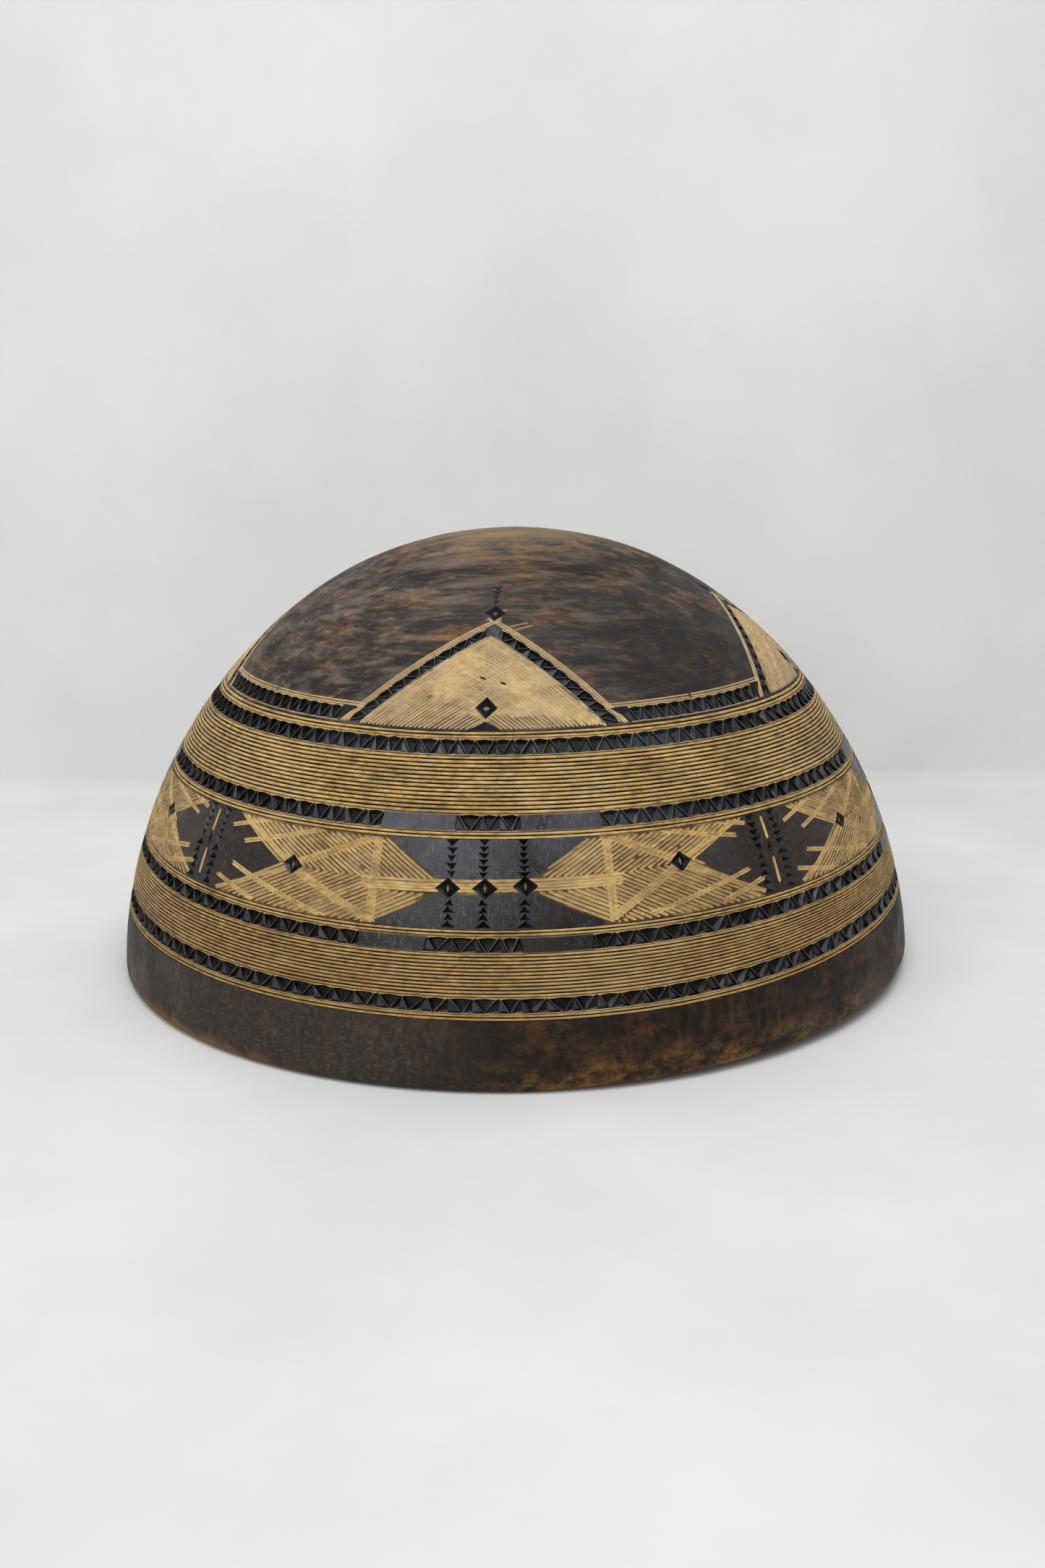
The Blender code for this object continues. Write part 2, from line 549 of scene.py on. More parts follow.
def smooth_random(places, size, seed):
    """Slowly changing random numbers from 0 to 1 over a plane, for places in millimetres."""
    table = np.random.default_rng(seed).random((64, 64))
    cells = np.asarray(places, float) / size
    corner = np.floor(cells).astype(int)
    part = cells - corner
    part = part * part * (3 - 2 * part)
    x, y = corner[:, 0] % 63, corner[:, 1] % 63
    lower = table[x, y] * (1 - part[:, 0]) + table[x + 1, y] * part[:, 0]
    upper = table[x, y + 1] * (1 - part[:, 0]) + table[x + 1, y + 1] * part[:, 0]
    return lower * (1 - part[:, 1]) + upper * part[:, 1]


def clip_line(start, direction, polygon):
    """Where a line lies inside a convex polygon, as two distances along it, or None."""
    first, last = -1e9, 1e9
    area = sum(a[0] * b[1] - b[0] * a[1] for a, b in zip(polygon, polygon[1:] + polygon[:1]))
    way = 1.0 if area > 0 else -1.0
    for a, b in zip(polygon, polygon[1:] + polygon[:1]):
        normal = np.array([-(b[1] - a[1]), b[0] - a[0]]) * way
        inside = float(np.dot(normal, np.subtract(start, a)))
        rate = float(np.dot(normal, direction))
        if abs(rate) < 1e-9:
            if inside < 0:
                return None
        elif rate > 0:
            first = max(first, -inside / rate)
        else:
            last = min(last, -inside / rate)
    return (first, last) if last - first > 0 else None


def inside_polygon(places, polygon):
    """Which places lie inside a polygon of any shape."""
    x, y = places[:, 0], places[:, 1]
    inside = np.zeros(len(places), bool)
    for a, b in zip(polygon, polygon[1:] + polygon[:1]):
        if a[1] == b[1]:
            continue
        crosses = (a[1] > y) != (b[1] > y)
        inside ^= crosses & (x < (b[0] - a[0]) * (y - a[1]) / (b[1] - a[1]) + a[0])
    return inside


class Carving:
    """Knife cuts and chips laid out on a plane in millimetres, and the mesh that they make of it.

    A knife stroke is a V-shaped groove that tapers to its two ends. A chip is a pit or a raised shape
    given as its own facets, and it takes the place of any stroke under it. `bare` says how much pale
    wood a face shows, and the second value how black it is; that value also marks the pits that take
    painted shade and the facets that take a painted blue-grey sheen.
    """

    def __init__(self, bounds, seed):
        self.bounds = bounds
        self.rng = np.random.default_rng(seed)
        self.seed = seed
        self.points = []
        self.edges = []
        self.segments = []
        self.facets = []

    def chain(self, places, closed=False):
        first = len(self.points)
        self.points.extend((float(x), float(y)) for x, y in places)
        ends = [(i, i + 1) for i in range(first, len(self.points) - 1)]
        if closed:
            ends.append((len(self.points) - 1, first))
        self.edges.extend(ends)

    def cut(self, places, half_widths, depth, bare=1.0):
        """One stroke through the places, whose half widths are given for each."""
        places = np.asarray(places, float)
        half_widths = np.asarray(half_widths, float)
        along = np.gradient(places, axis=0)
        along /= np.linalg.norm(along, axis=1)[:, None]
        side = np.stack([-along[:, 1], along[:, 0]], axis=1) * half_widths[:, None]
        self.chain(places + side)
        self.chain(places)
        self.chain(places - side)
        depths = depth * half_widths / max(half_widths.max(), 1e-6)
        for i in range(len(places) - 1):
            self.segments.append(
                (places[i], places[i + 1], half_widths[i], half_widths[i + 1], depths[i], depths[i + 1], bare)
            )

    def stroke(self, start, end, half_width, depth, step=5.0, bare=1.0):
        """A straight stroke whose width varies a little along it. It is kept on the sheet."""
        start, end = np.asarray(start, float), np.asarray(end, float)
        length = float(np.linalg.norm(end - start))
        if length < 0.8:
            return
        direction = (end - start) / length
        kept = clip_line(start, direction, self.bounds)
        if kept is None:
            return
        first, last = max(0.0, kept[0] + 0.2), min(length, kept[1] - 0.2)
        if last - first < 0.8:
            return
        count = max(4, int((last - first) / step) + 3)
        shares = np.linspace(0.0, 1.0, count)
        shares[1] = min(shares[1], 0.8 / (last - first))
        shares[-2] = max(shares[-2], 1 - 0.8 / (last - first))
        widths = half_width * (0.90 + 0.20 * self.rng.random(count))
        widths[0] = widths[-1] = 0.0
        places = start + direction * (first + shares * (last - first))[:, None]
        self.cut(places, widths, depth, bare)

    def bundle(self, start, end, count, spacing, half_width, depth, over=0.0):
        """Parallel strokes side by side, which may run a little past their ends."""
        start, end = np.asarray(start, float), np.asarray(end, float)
        direction = (end - start) / np.linalg.norm(end - start)
        side = np.array([-direction[1], direction[0]])
        for i in range(count):
            offset = side * (i - (count - 1) / 2) * spacing
            ends = self.rng.random(2) * 1.6 + over
            lean = side * (self.rng.random() - 0.5) * 0.25
            first = start + offset - direction * ends[0] + lean
            last = end + offset + direction * ends[1]
            self.stroke(first, last, half_width, depth)

    def hatch(self, zone, angle, pitch, half_width, depth, over=0.2, missing=0.015):
        """Parallel strokes at an angle in degrees that fill a convex zone."""
        direction = np.array([math.cos(math.radians(angle)), math.sin(math.radians(angle))])
        normal = np.array([-direction[1], direction[0]])
        reach = [float(np.dot(normal, corner)) for corner in zone]
        # Each line turns about the middle of its zone, so a small lean doesn't carry it sideways.
        foot = direction * float(np.dot(direction, np.mean(zone, axis=0)))
        offset = min(reach) + pitch * 0.4
        while offset < max(reach):
            lean = math.radians((self.rng.random() - 0.5) * 0.6)
            bent = direction * math.cos(lean) + normal * math.sin(lean)
            middle = foot + normal * offset
            kept = clip_line(middle, bent, zone)
            width = half_width * (0.90 + 0.20 * self.rng.random())
            pale = 0.72 + 0.28 * self.rng.random()
            ends = (self.rng.random(2) * 0.9 - 0.4) + over
            gap = self.rng.random(3)
            if kept and kept[1] - kept[0] > 1.6:
                start = middle + bent * (kept[0] - ends[0])
                end = middle + bent * (kept[1] + ends[1])
                if gap[0] < missing * 3 and kept[1] - kept[0] > 9:
                    # The knife was lifted and set down again.
                    lift = start + (end - start) * (0.25 + 0.5 * gap[1])
                    self.stroke(start, lift - bent * (0.3 + gap[2]), width, depth, bare=pale)
                    self.stroke(lift + bent * (0.3 + gap[2]), end, width, depth, bare=pale)
                elif gap[0] > missing:
                    self.stroke(start, end, width, depth, bare=pale)
            offset += pitch * (0.94 + 0.12 * self.rng.random())

    def chip(self, corners, facets):
        """corners is (x, y, proud) each, and facets is (corner, corner, corner, bare, look) each. The look
        holds char and marks painted pit shade and the painted blue-grey sheen.
        """
        corners = np.asarray(corners, float)
        for a, b, c, bare, char_shade_and_sheen in facets:
            three = corners[[a, b, c]]
            self.chain(three[:, :2], closed=True)
            self.facets.append((three, bare, char_shade_and_sheen))

    def pit(self, outline, deepest, depth, bare=0.0, char_shade_and_sheen=PIT_BLACK):
        """A chip cut out to one deepest point."""
        count = len(outline)
        corners = [(x, y, 0.0) for x, y in outline] + [(deepest[0], deepest[1], -depth)]
        self.chip(corners, [(i, (i + 1) % count, count, bare, char_shade_and_sheen) for i in range(count)])

    def diamond(self, centre, half_width, half_height, depth, island=(0.50, 1.6), island_bare=0.35):
        """A sunk black diamond that keeps a small pale island in its middle."""
        corners = []
        sizes = (
            (half_width, half_height, 0.0),
            (half_width * 0.50, half_height * 0.68, -depth),
            (island[0], island[1], -depth * 0.35),
        )
        for a, b, proud in sizes:
            for dx, dy in ((a, 0), (0, b), (-a, 0), (0, -b)):
                corners.append((centre[0] + dx, centre[1] + dy, proud))
        corners.append((centre[0], centre[1], -depth * 0.15))
        facets = []
        for ring in (0, 4):
            for i in range(4):
                j = (i + 1) % 4
                # One outer facet takes the painted blue-grey sheen, a painted highlight.
                look = PAINTED_SHEEN_LOOK if ring == 0 and i == 2 else PIT_BLACK
                facets.append((ring + i, ring + j, ring + 4 + i, 0.0, look))
                facets.append((ring + j, ring + 4 + j, ring + 4 + i, 0.0, look))
        for i in range(4):
            facets.append((8 + i, 8 + (i + 1) % 4, 12, island_bare, 0.0))
        self.chip(corners, facets)

    def chip_row(self, start, end, count, width, depth):
        """Chips one after another, each a chevron that points from start to end."""
        start, end = np.asarray(start, float), np.asarray(end, float)
        step = (end - start) / count
        long = float(np.linalg.norm(step))
        direction = step / long
        side = np.array([-direction[1], direction[0]])
        for i in range(count):
            base = start + step * i
            half = width / 2 * (0.75 + 0.5 * self.rng.random()) * (1.25 if i == 0 else 1.0)
            bend = side * (self.rng.random() - 0.5) * 0.9
            tip = base + direction * long * 1.04 + bend
            notch = base + direction * long * (0.0 if i == 0 else 0.10)
            low = base + direction * long * 0.50 + bend
            outline = [base - side * half, notch, base + side * half, tip]
            corners = [(*p, 0.0) for p in outline] + [(*low, -depth * (0.8 + 0.4 * self.rng.random()))]
            facets = [(i + 1, i, 4, 0.0, PIT_BLACK) for i in range(3)]
            # One facet of each chip takes the painted blue-grey sheen, a painted highlight.
            self.chip(corners, facets + [(0, 3, 4, 0.0, PAINTED_SHEEN_LOOK)])

    def teeth(self, corners, count, depth):
        """Carved teeth along a strip, given as its lower left, lower right, upper right and upper left."""
        low_left, low_right, high_right, high_left = (np.asarray(c, float) for c in corners)
        places, facets = tooth_cell()
        for i in range(count):
            shift = (self.rng.random(2) - 0.5) * 0.12
            shares = places[:, 0] + shift[0] * np.sin(np.pi * places[:, 0]) * places[:, 1]
            along = ((i + shares) / count)[:, None]
            low = low_left * (1 - along) + low_right * along
            high = high_left * (1 - along) + high_right * along
            flat = low + (high - low) * places[:, 1:2]
            proud = places[:, 2] * depth * (1 + shift[1] * 2)
            self.chip(np.column_stack([flat, proud]), facets)

    def survey(self, places, ground):
        """How far proud each place is, how bare, and how black, with the marks for painted pit shade and
        painted sheen.
        """
        places = np.asarray(places, float)
        proud = np.zeros(len(places))
        bare, char_shade_and_sheen = ground(places)
        order = np.argsort(places[:, 0], kind="stable")
        sorted_x = places[order, 0]

        def near(x_low, x_high, y_low, y_high):
            found = order[np.searchsorted(sorted_x, x_low) : np.searchsorted(sorted_x, x_high)]
            y = places[found, 1]
            return found[(y >= y_low) & (y <= y_high)]

        for a, b, wide_a, wide_b, deep_a, deep_b, pale in self.segments:
            wide = max(wide_a, wide_b)
            low, high = np.minimum(a, b) - wide, np.maximum(a, b) + wide
            found = near(low[0], high[0], low[1], high[1])
            if not len(found):
                continue
            run = b - a
            length = float(np.hypot(*run))
            offset = places[found] - a
            share = offset @ run / length**2
            away = np.abs(offset[:, 0] * run[1] - offset[:, 1] * run[0]) / length
            half = wide_a + (wide_b - wide_a) * share
            hit = (share > -1e-4) & (share < 1 + 1e-4) & (away < half - 1e-4)
            found, share, away, half = found[hit], share[hit], away[hit], half[hit]
            depth = (deep_a + (deep_b - deep_a) * share) * (1 - away / half)
            proud[found] = np.minimum(proud[found], -depth)
            bare[found] = np.maximum(bare[found], pale)
            char_shade_and_sheen[found] = 0.0

        for three, pale, black in self.facets:
            low, high = three[:, :2].min(0) - 1e-3, three[:, :2].max(0) + 1e-3
            found = near(low[0], high[0], low[1], high[1])
            if not len(found):
                continue
            a, b, c = three[:, :2]
            area = (b[0] - a[0]) * (c[1] - a[1]) - (c[0] - a[0]) * (b[1] - a[1])
            if abs(area) < 1e-6:
                continue
            x, y = places[found, 0], places[found, 1]
            share_b = ((x - a[0]) * (c[1] - a[1]) - (c[0] - a[0]) * (y - a[1])) / area
            share_c = ((b[0] - a[0]) * (y - a[1]) - (x - a[0]) * (b[1] - a[1])) / area
            hit = (share_b > -1e-3) & (share_c > -1e-3) & (share_b + share_c < 1 + 1e-3)
            found, share_b, share_c = found[hit], share_b[hit], share_c[hit]
            first, second, third = three[:, 2]
            proud[found] = first + (second - first) * share_b + (third - first) * share_c
            bare[found] = pale
            char_shade_and_sheen[found] = black
        return proud, bare, char_shade_and_sheen

    def to_mesh(self, name, unflatten, ground, keep, backing=BACKING):
        """A closed mesh of the sheet. unflatten turns millimetres on the plane into turn and distance up."""
        verts, _, faces, *_ = delaunay_2d_cdt([Vector(p) for p in self.points], self.edges, [], 0, 1e-4)
        places = np.array([(v[0], v[1]) for v in verts])
        faces = np.array([f for f in faces if len(f) == 3])
        faces = faces[keep(places[faces].mean(axis=1))]
        a, b, c = (places[faces[:, i]] for i in range(3))
        area = (b[:, 0] - a[:, 0]) * (c[:, 1] - a[:, 1]) - (c[:, 0] - a[:, 0]) * (b[:, 1] - a[:, 1])
        faces[area < 0] = faces[area < 0][:, ::-1]
        proud, _, _ = self.survey(places, ground)
        _, bare, char_shade_and_sheen = self.survey(places[faces].mean(axis=1), ground)

        used, index = np.unique(faces, return_inverse=True)
        faces = index.reshape(-1, 3)
        flat = unflatten(places[used])
        corners = np.column_stack([flat, proud[used] * MM])
        edges = border_edges(faces)
        corners[np.unique(edges), 2] = 0.0
        return closed_sheet(name, corners, faces, edges, bare, char_shade_and_sheen, backing)


def border_edges(faces):
    """The edges that belong to one face only, in that face's direction."""
    ends = np.concatenate([faces[:, [0, 1]], faces[:, [1, 2]], faces[:, [2, 0]]])
    key = np.sort(ends, axis=1)
    _, first, counts = np.unique(key, axis=0, return_index=True, return_counts=True)
    return ends[first[counts == 1]]


def closed_sheet(name, corners, faces, edges, bare, char_shade_and_sheen, backing):
    """The sheet with side walls down from its border and a plainer back that follows the dome too."""
    border = np.unique(edges)
    low = {int(v): len(corners) + i for i, v in enumerate(border)}
    under = corners[border].copy()
    under[:, 2] = -backing
    walls = []
    for a, b in edges:
        walls.append((int(b), int(a), low[int(a)]))
        walls.append((int(b), low[int(a)], low[int(b)]))

    scale = np.array([OUTER_RADIUS, 1.0]) / MM
    local = {int(v): i for i, v in enumerate(border)}
    back_edges = [(local[int(a)], local[int(b)]) for a, b in edges]
    low_left, high_right = under[:, :2].min(axis=0), under[:, :2].max(axis=0)
    columns = np.linspace(low_left[0], high_right[0], BACK_COLUMNS)[1:-1]
    rows = np.linspace(low_left[1], high_right[1], BACK_ROWS)[1:-1]
    middle = np.array([(x, y, -backing) for x in columns for y in rows])
    under = np.concatenate([under, middle])
    _, _, back, origins, *_ = delaunay_2d_cdt(
        [Vector(p) for p in under[:, :2] * scale], back_edges, [], 1, 1e-6
    )
    start = len(corners)
    back_faces = []
    for face in back:
        a, b, c = (start + (origins[i][0] if origins[i] else i) for i in face)
        back_faces.append((c, b, a))
    places = np.concatenate([corners, under])
    every = np.concatenate([faces, np.array(walls), np.array(back_faces)])
    mesh = bpy.data.meshes.new(name)
    mesh.from_pydata(places.tolist(), [], every.tolist())
    extra = len(every) - len(faces)
    for label, values in (("bare", bare), ("char_shade_and_sheen", char_shade_and_sheen)):
        layer = mesh.attributes.new(label, "FLOAT", "FACE")
        layer.data.foreach_set("value", np.concatenate([values, np.zeros(extra)]).astype(np.float32))
    return mesh


# ---------------------------------------------------------------- teeth


def tooth_cell():
    """One carved tooth in a unit cell, as (across, up, proud) corners and its facets.

    Two thin ridges make a V. The pit inside the V is the deep one, and half a shallower, apex-up pit
    lies on either side of it.
    """
    corners = [
        (0, 0, 0), (0.5, 0, 0), (1, 0, 0),
        (0, 0.05, 0), (0.45, 0.05, -0.06), (0.48, 0.07, -0.10),
        (0.52, 0.07, -0.10), (0.55, 0.05, -0.06), (1, 0.05, 0),
        (0, 0.20, -0.50), (0.36, 0.13, -0.72), (0.64, 0.13, -0.72), (1, 0.20, -0.50),
        (0, 0.78, -0.42), (0.04, 0.80, -0.66), (0.96, 0.80, -0.66), (1, 0.78, -0.42),
        (0, 0.92, 0), (0.045, 0.89, -0.12), (0.090, 0.90, -0.12), (0.5, 0.96, 0), (0.91, 0.90, -0.12),
        (0.955, 0.89, -0.12), (1, 0.92, 0),
        (0, 1, 0), (0.5, 1, 0), (1, 1, 0),
        (0.20, 0.80, -1.0), (0.5, 0.84, -1.12), (0.80, 0.80, -1.0), (0.5, 0.26, -0.82),
    ]  # fmt: skip
    # The slate-blue look on a few facets is a painted sheen, a painted highlight; the black pits also take
    # painted shade.
    pale, umber, soot, black, painted_sheen = (0.8, 0.0), (0.15, 0.0), (0.12, 0.35), (0.0, PIT_BLACK), (0.0, PAINTED_SHEEN_LOOK)
    groups = (
        # The strips that meet the lines below and above.
        ((0, 1, 4, 3), pale), ((1, 5, 4, 4), umber), ((1, 6, 5, 5), umber), ((1, 7, 6, 6), umber),
        ((1, 2, 8, 7), pale), ((17, 18, 24, 24), umber), ((18, 19, 24, 24), pale), ((19, 20, 25, 24), pale),
        ((20, 21, 26, 25), pale), ((21, 22, 26, 26), pale), ((22, 23, 26, 26), umber),
        # The apex-up pit, half on each side.
        ((3, 4, 10, 9), black), ((9, 10, 14, 13), painted_sheen), ((4, 18, 14, 10), black), ((13, 14, 18, 17), black),
        ((7, 8, 12, 11), soot), ((11, 12, 16, 15), black), ((22, 7, 11, 15), black),
        ((15, 16, 23, 22), black),
        # The ridges.
        ((4, 5, 19, 18), soot), ((6, 7, 22, 21), soot),
        # The deep pit.
        ((5, 6, 30, 30), black), ((5, 30, 27, 19), black), ((6, 21, 29, 30), painted_sheen),
        ((19, 27, 28, 20), black), ((20, 28, 29, 21), black), ((30, 29, 28, 27), black),
    )  # fmt: skip
    facets = []
    for (a, b, c, d), (bare, char_shade_and_sheen) in groups:
        facets.append((a, b, c, bare, char_shade_and_sheen))
        if c != d:
            facets.append((a, c, d, bare, char_shade_and_sheen))
    return np.array(corners, float), facets


PANEL_COLUMNS = (0.0, 0.012, 0.1, 0.2, 0.3, 0.4, 0.5, 0.6, 0.7, 0.8, 0.9, 0.988, 1.0)


def panel_cell():
    """A plain panel in a unit cell. Its two ends match the end of a tooth, so that they join."""
    end = [(0.0, 0.0), (0.05, 0.0), (0.20, -0.50), (0.78, -0.42), (0.92, 0.0), (1.0, 0.0)]
    places, facets = [], []
    last = len(PANEL_COLUMNS) - 1
    for column, x in enumerate(PANEL_COLUMNS):
        for up, proud in end:
            places.append((x, up, proud if column in (0, last) else 0.0))
    for column in range(last):
        for row in range(5):
            a = column * 6 + row
            b = a + 6
            bare = 0.6 if row in (0, 4) else 0.0
            facets.append((a, b, b + 1, bare, 1.0 - bare))
            facets.append((a, b + 1, a + 1, bare, 1.0 - bare))
    return np.array(places, float), facets


def cell_object(name, places, facets, lower, upper):
    """A unit cell with its walls and back, open at its two ends so that cells join in a row."""
    back = BACKING / TOOTH_DEPTH
    first = len(places)
    columns = len(lower)
    extra = [(places[i][0], up, -back) for up, row in ((0.0, lower), (1.0, upper)) for i in row]
    every = [tuple(facet[:3]) for facet in facets]
    looks = [facet[3:] for facet in facets]
    for i in range(columns - 1):
        low, high = first + i, first + columns + i
        every.append((lower[i + 1], lower[i], low))
        every.append((lower[i + 1], low, low + 1))
        every.append((upper[i], upper[i + 1], high + 1))
        every.append((upper[i], high + 1, high))
        every.append((low + 1, low, high))
        every.append((low + 1, high, high + 1))
        looks += [(0.0, 1.0)] * 6
    mesh = bpy.data.meshes.new(name)
    mesh.from_pydata(np.asarray(places).tolist() + extra, [], every)
    for slot, label in enumerate(("bare", "char_shade_and_sheen")):
        layer = mesh.attributes.new(label, "FLOAT", "FACE")
        layer.data.foreach_set("value", [look[slot] for look in looks])
    cell = bpy.data.objects.new(name, mesh)
    bpy.context.scene.collection.objects.link(cell)
    return cell


# ---------------------------------------------------------------- the frieze


def frieze_place(turn, up):
    """A place in the front repeat of the frieze, in millimetres on its plane."""
    return ((turn - FRIEZE_SPANS[0][0]) * FRIEZE_PER_DEGREE, up)


def frieze_places(*pairs):
    """Places in the front repeat of the frieze, from (turn, up) pairs."""
    return [frieze_place(*pair) for pair in pairs]


def dense(corners, step=4.0):
    """An outline with places added along its sides, so that every side can follow the dome."""
    places = []
    for a, b in zip(corners, corners[1:] + corners[:1]):
        count = max(1, math.ceil(math.dist(a, b) / step))
        shares = [i / count for i in range(count)]
        places += [(a[0] + (b[0] - a[0]) * s, a[1] + (b[1] - a[1]) * s) for s in shares]
    return places


FRIEZE_PANELS = (
    # The two halves of the bow-tie.
    ((-17.3, 89.8), (-9.5, 75.3), (2.7, 76.3), (10.3, 89.8)),
    ((-10.6, 70.0), (-18.4, 59.4), (-18.4, 58.6), (11.6, 58.6), (11.6, 59.8), (2.6, 71.0)),
    # What this repeat holds of the hexagons at its two sides.
    ((-50.0, 89.8), (-44.2, 89.8), (-33.6, 75.1), (-44.5, 58.6), (-50.0, 58.6)),
    ((25.4, 77.7), (34.4, 89.8), (37.4, 89.8), (37.4, 58.6), (35.4, 58.6)),
)
DIAMOND_LEFT = (-31.6, 75.0)
DIAMOND_RIGHT = (23.2, 77.5)


def carve_hatching(carving):
    """The hatched fields. Above the middle they lean one way on each side, and below it the other."""
    fields = (
        # Beside the bow-tie.
        (((-19.0, 90.6), (-18.0, 90.6), (-9.7, 75.3), (-19.0, 75.3)), -34.5),
        (((-19.0, 71.2), (-10.9, 70.2), (-19.0, 58.8)), 25.5),
        (((12.9, 90.6), (11.2, 90.6), (2.9, 76.4), (12.9, 76.4)), 31.5),
        (((12.9, 71.8), (2.9, 71.2), (12.9, 58.9)), -24.5),
        # Between the upright lines and the large diamonds.
        (((-31.0, 75.2), (-19.0, 90.0), (-19.0, 74.6)), -29.5),
        (((-31.0, 74.8), (-19.0, 75.2), (-19.0, 58.2)), 26.0),
        (((22.6, 77.6), (12.9, 90.0), (12.9, 75.4)), 28.0),
        (((22.6, 77.2), (12.9, 76.0), (12.9, 58.6)), -27.0),
        # Out to the hexagons.
        (((-33.6, 75.0), (-45.4, 91.4), (-18.8, 91.0), (-31.0, 75.2)), -27.5),
        (((-33.6, 75.2), (-31.0, 74.8), (-18.2, 57.6), (-45.4, 57.6)), 27.0),
        (((25.4, 77.6), (35.6, 91.4), (12.9, 91.4), (22.6, 77.6)), 26.0),
        (((25.4, 77.8), (22.6, 77.2), (12.9, 57.6), (35.8, 57.6)), -28.0),
    )
    for zone, angle in fields:
        carving.hatch(frieze_places(*zone), angle, *FRIEZE_HATCH, FINE_DEPTH)


def carve_bundles(carving):
    """The bundles of three to five fine lines that divide the fields."""
    bundles = (
        ((-18.8, 59.0), (-18.8, 90.0), 4, 0.86),
        ((12.9, 60.0), (12.9, 90.0), 4, 0.86),
        ((-20.5, 73.0), (14.5, 74.2), 4, 1.15),
        ((-31.0, 76.2), (-18.9, 89.8), 4, 0.74),
        ((-31.0, 73.8), (-18.4, 59.2), 4, 0.74),
        ((22.6, 78.6), (13.4, 89.8), 4, 0.74),
        ((22.6, 76.2), (12.9, 61.0), 4, 0.74),
        # Beyond the large diamonds, along the edges of the hexagons.
        ((-32.2, 76.4), (-44.6, 91.2), 2, 0.85),
        ((-32.2, 73.8), (-45.0, 59.2), 2, 0.85),
        ((23.8, 79.0), (35.6, 90.8), 2, 0.85),
        ((23.8, 76.0), (35.6, 60.2), 2, 0.85),
        # Pairs across the fields, which run on over the dark panels as ticks.
        ((-41.4, 79.6), (-27.0, 90.4), 2, 0.95),
        ((-44.8, 84.4), (-36.4, 91.0), 2, 0.95),
        ((-42.2, 70.0), (-25.6, 59.0), 2, 0.95),
        ((-45.0, 64.4), (-37.0, 59.0), 2, 0.95),
        ((33.0, 83.4), (20.2, 90.4), 2, 0.95),
        ((35.2, 87.2), (29.0, 90.6), 2, 0.95),
        ((33.4, 69.6), (18.0, 60.6), 2, 0.95),
        ((36.0, 65.2), (28.6, 60.4), 2, 0.95),
    )
    for start, end, count, spacing in bundles:
        carving.bundle(frieze_place(*start), frieze_place(*end), count, spacing, spacing * 0.43, FINE_DEPTH)


def carve_frieze_chips(carving):
    """The sunk diamonds and the rows of chips across the dark panels."""
    for turn, up in ((-8.6, 72.5), (-3.7, 72.6), (1.6, 73.3)):
        carving.diamond(frieze_place(turn, up), 4.7, 3.8, 1.4)
    carving.diamond(frieze_place(*DIAMOND_LEFT), 4.6, 3.9, 1.4)
    carving.diamond(frieze_place(*DIAMOND_RIGHT), 4.6, 3.9, 1.4)
    for turn, count_up, count_down in ((-8.3, 5, 4), (-3.9, 6, 4), (1.5, 6, 4)):
        top, bottom = frieze_place(turn, 90.0), frieze_place(turn, 58.9)
        carving.chip_row(top, frieze_place(turn, 76.2), count_up, 4.0, 1.5)
        carving.chip_row(bottom, frieze_place(turn, 69.0), count_down, 4.0, 1.5)
    for turn in (-47.2, 36.35):
        carving.chip_row(frieze_place(turn, 89.8), frieze_place(turn, 75.4), 5, 4.6, 1.4)
        carving.chip_row(frieze_place(turn, 59.0), frieze_place(turn, 75.0), 5, 4.6, 1.4)
    middle = -49.3
    carving.stroke(frieze_place(middle, 61.5), frieze_place(middle, 72.0), 0.62, 0.4)
    carving.stroke(frieze_place(middle, 79.0), frieze_place(middle, 88.5), 0.62, 0.4)
    x, y = frieze_place(middle, 75.4)
    carving.pit([(x + 1.5, y), (x, y + 3.0), (x - 1.5, y), (x, y - 3.0)], (x, y), 1.1)


def frieze_ground(seed):
    """How bare and how burnt the untouched surface is: black panels, and patchy brown between strokes."""
    panels = [frieze_places(*panel) for panel in FRIEZE_PANELS]

    def ground(places):
        patches = smooth_random(places, 8.0, seed) * 0.6 + smooth_random(places, 2.3, seed + 1) * 0.4
        bare = np.clip((patches - 0.40) * 1.2, 0.04, 0.34)
        char_shade_and_sheen = np.zeros(len(places))
        low, high = np.min(panels[2], axis=0) + 0.05, np.max(panels[3], axis=0) - 0.05
        moved_in = np.clip(places, low, high)
        for number, panel in enumerate(panels):
            inside = inside_polygon(moved_in, panel)
            bare[inside] = 0.0
            char_shade_and_sheen[inside] = PANEL_BLACK if number < 2 else HEXAGON_BLACK
        return bare, char_shade_and_sheen

    return ground


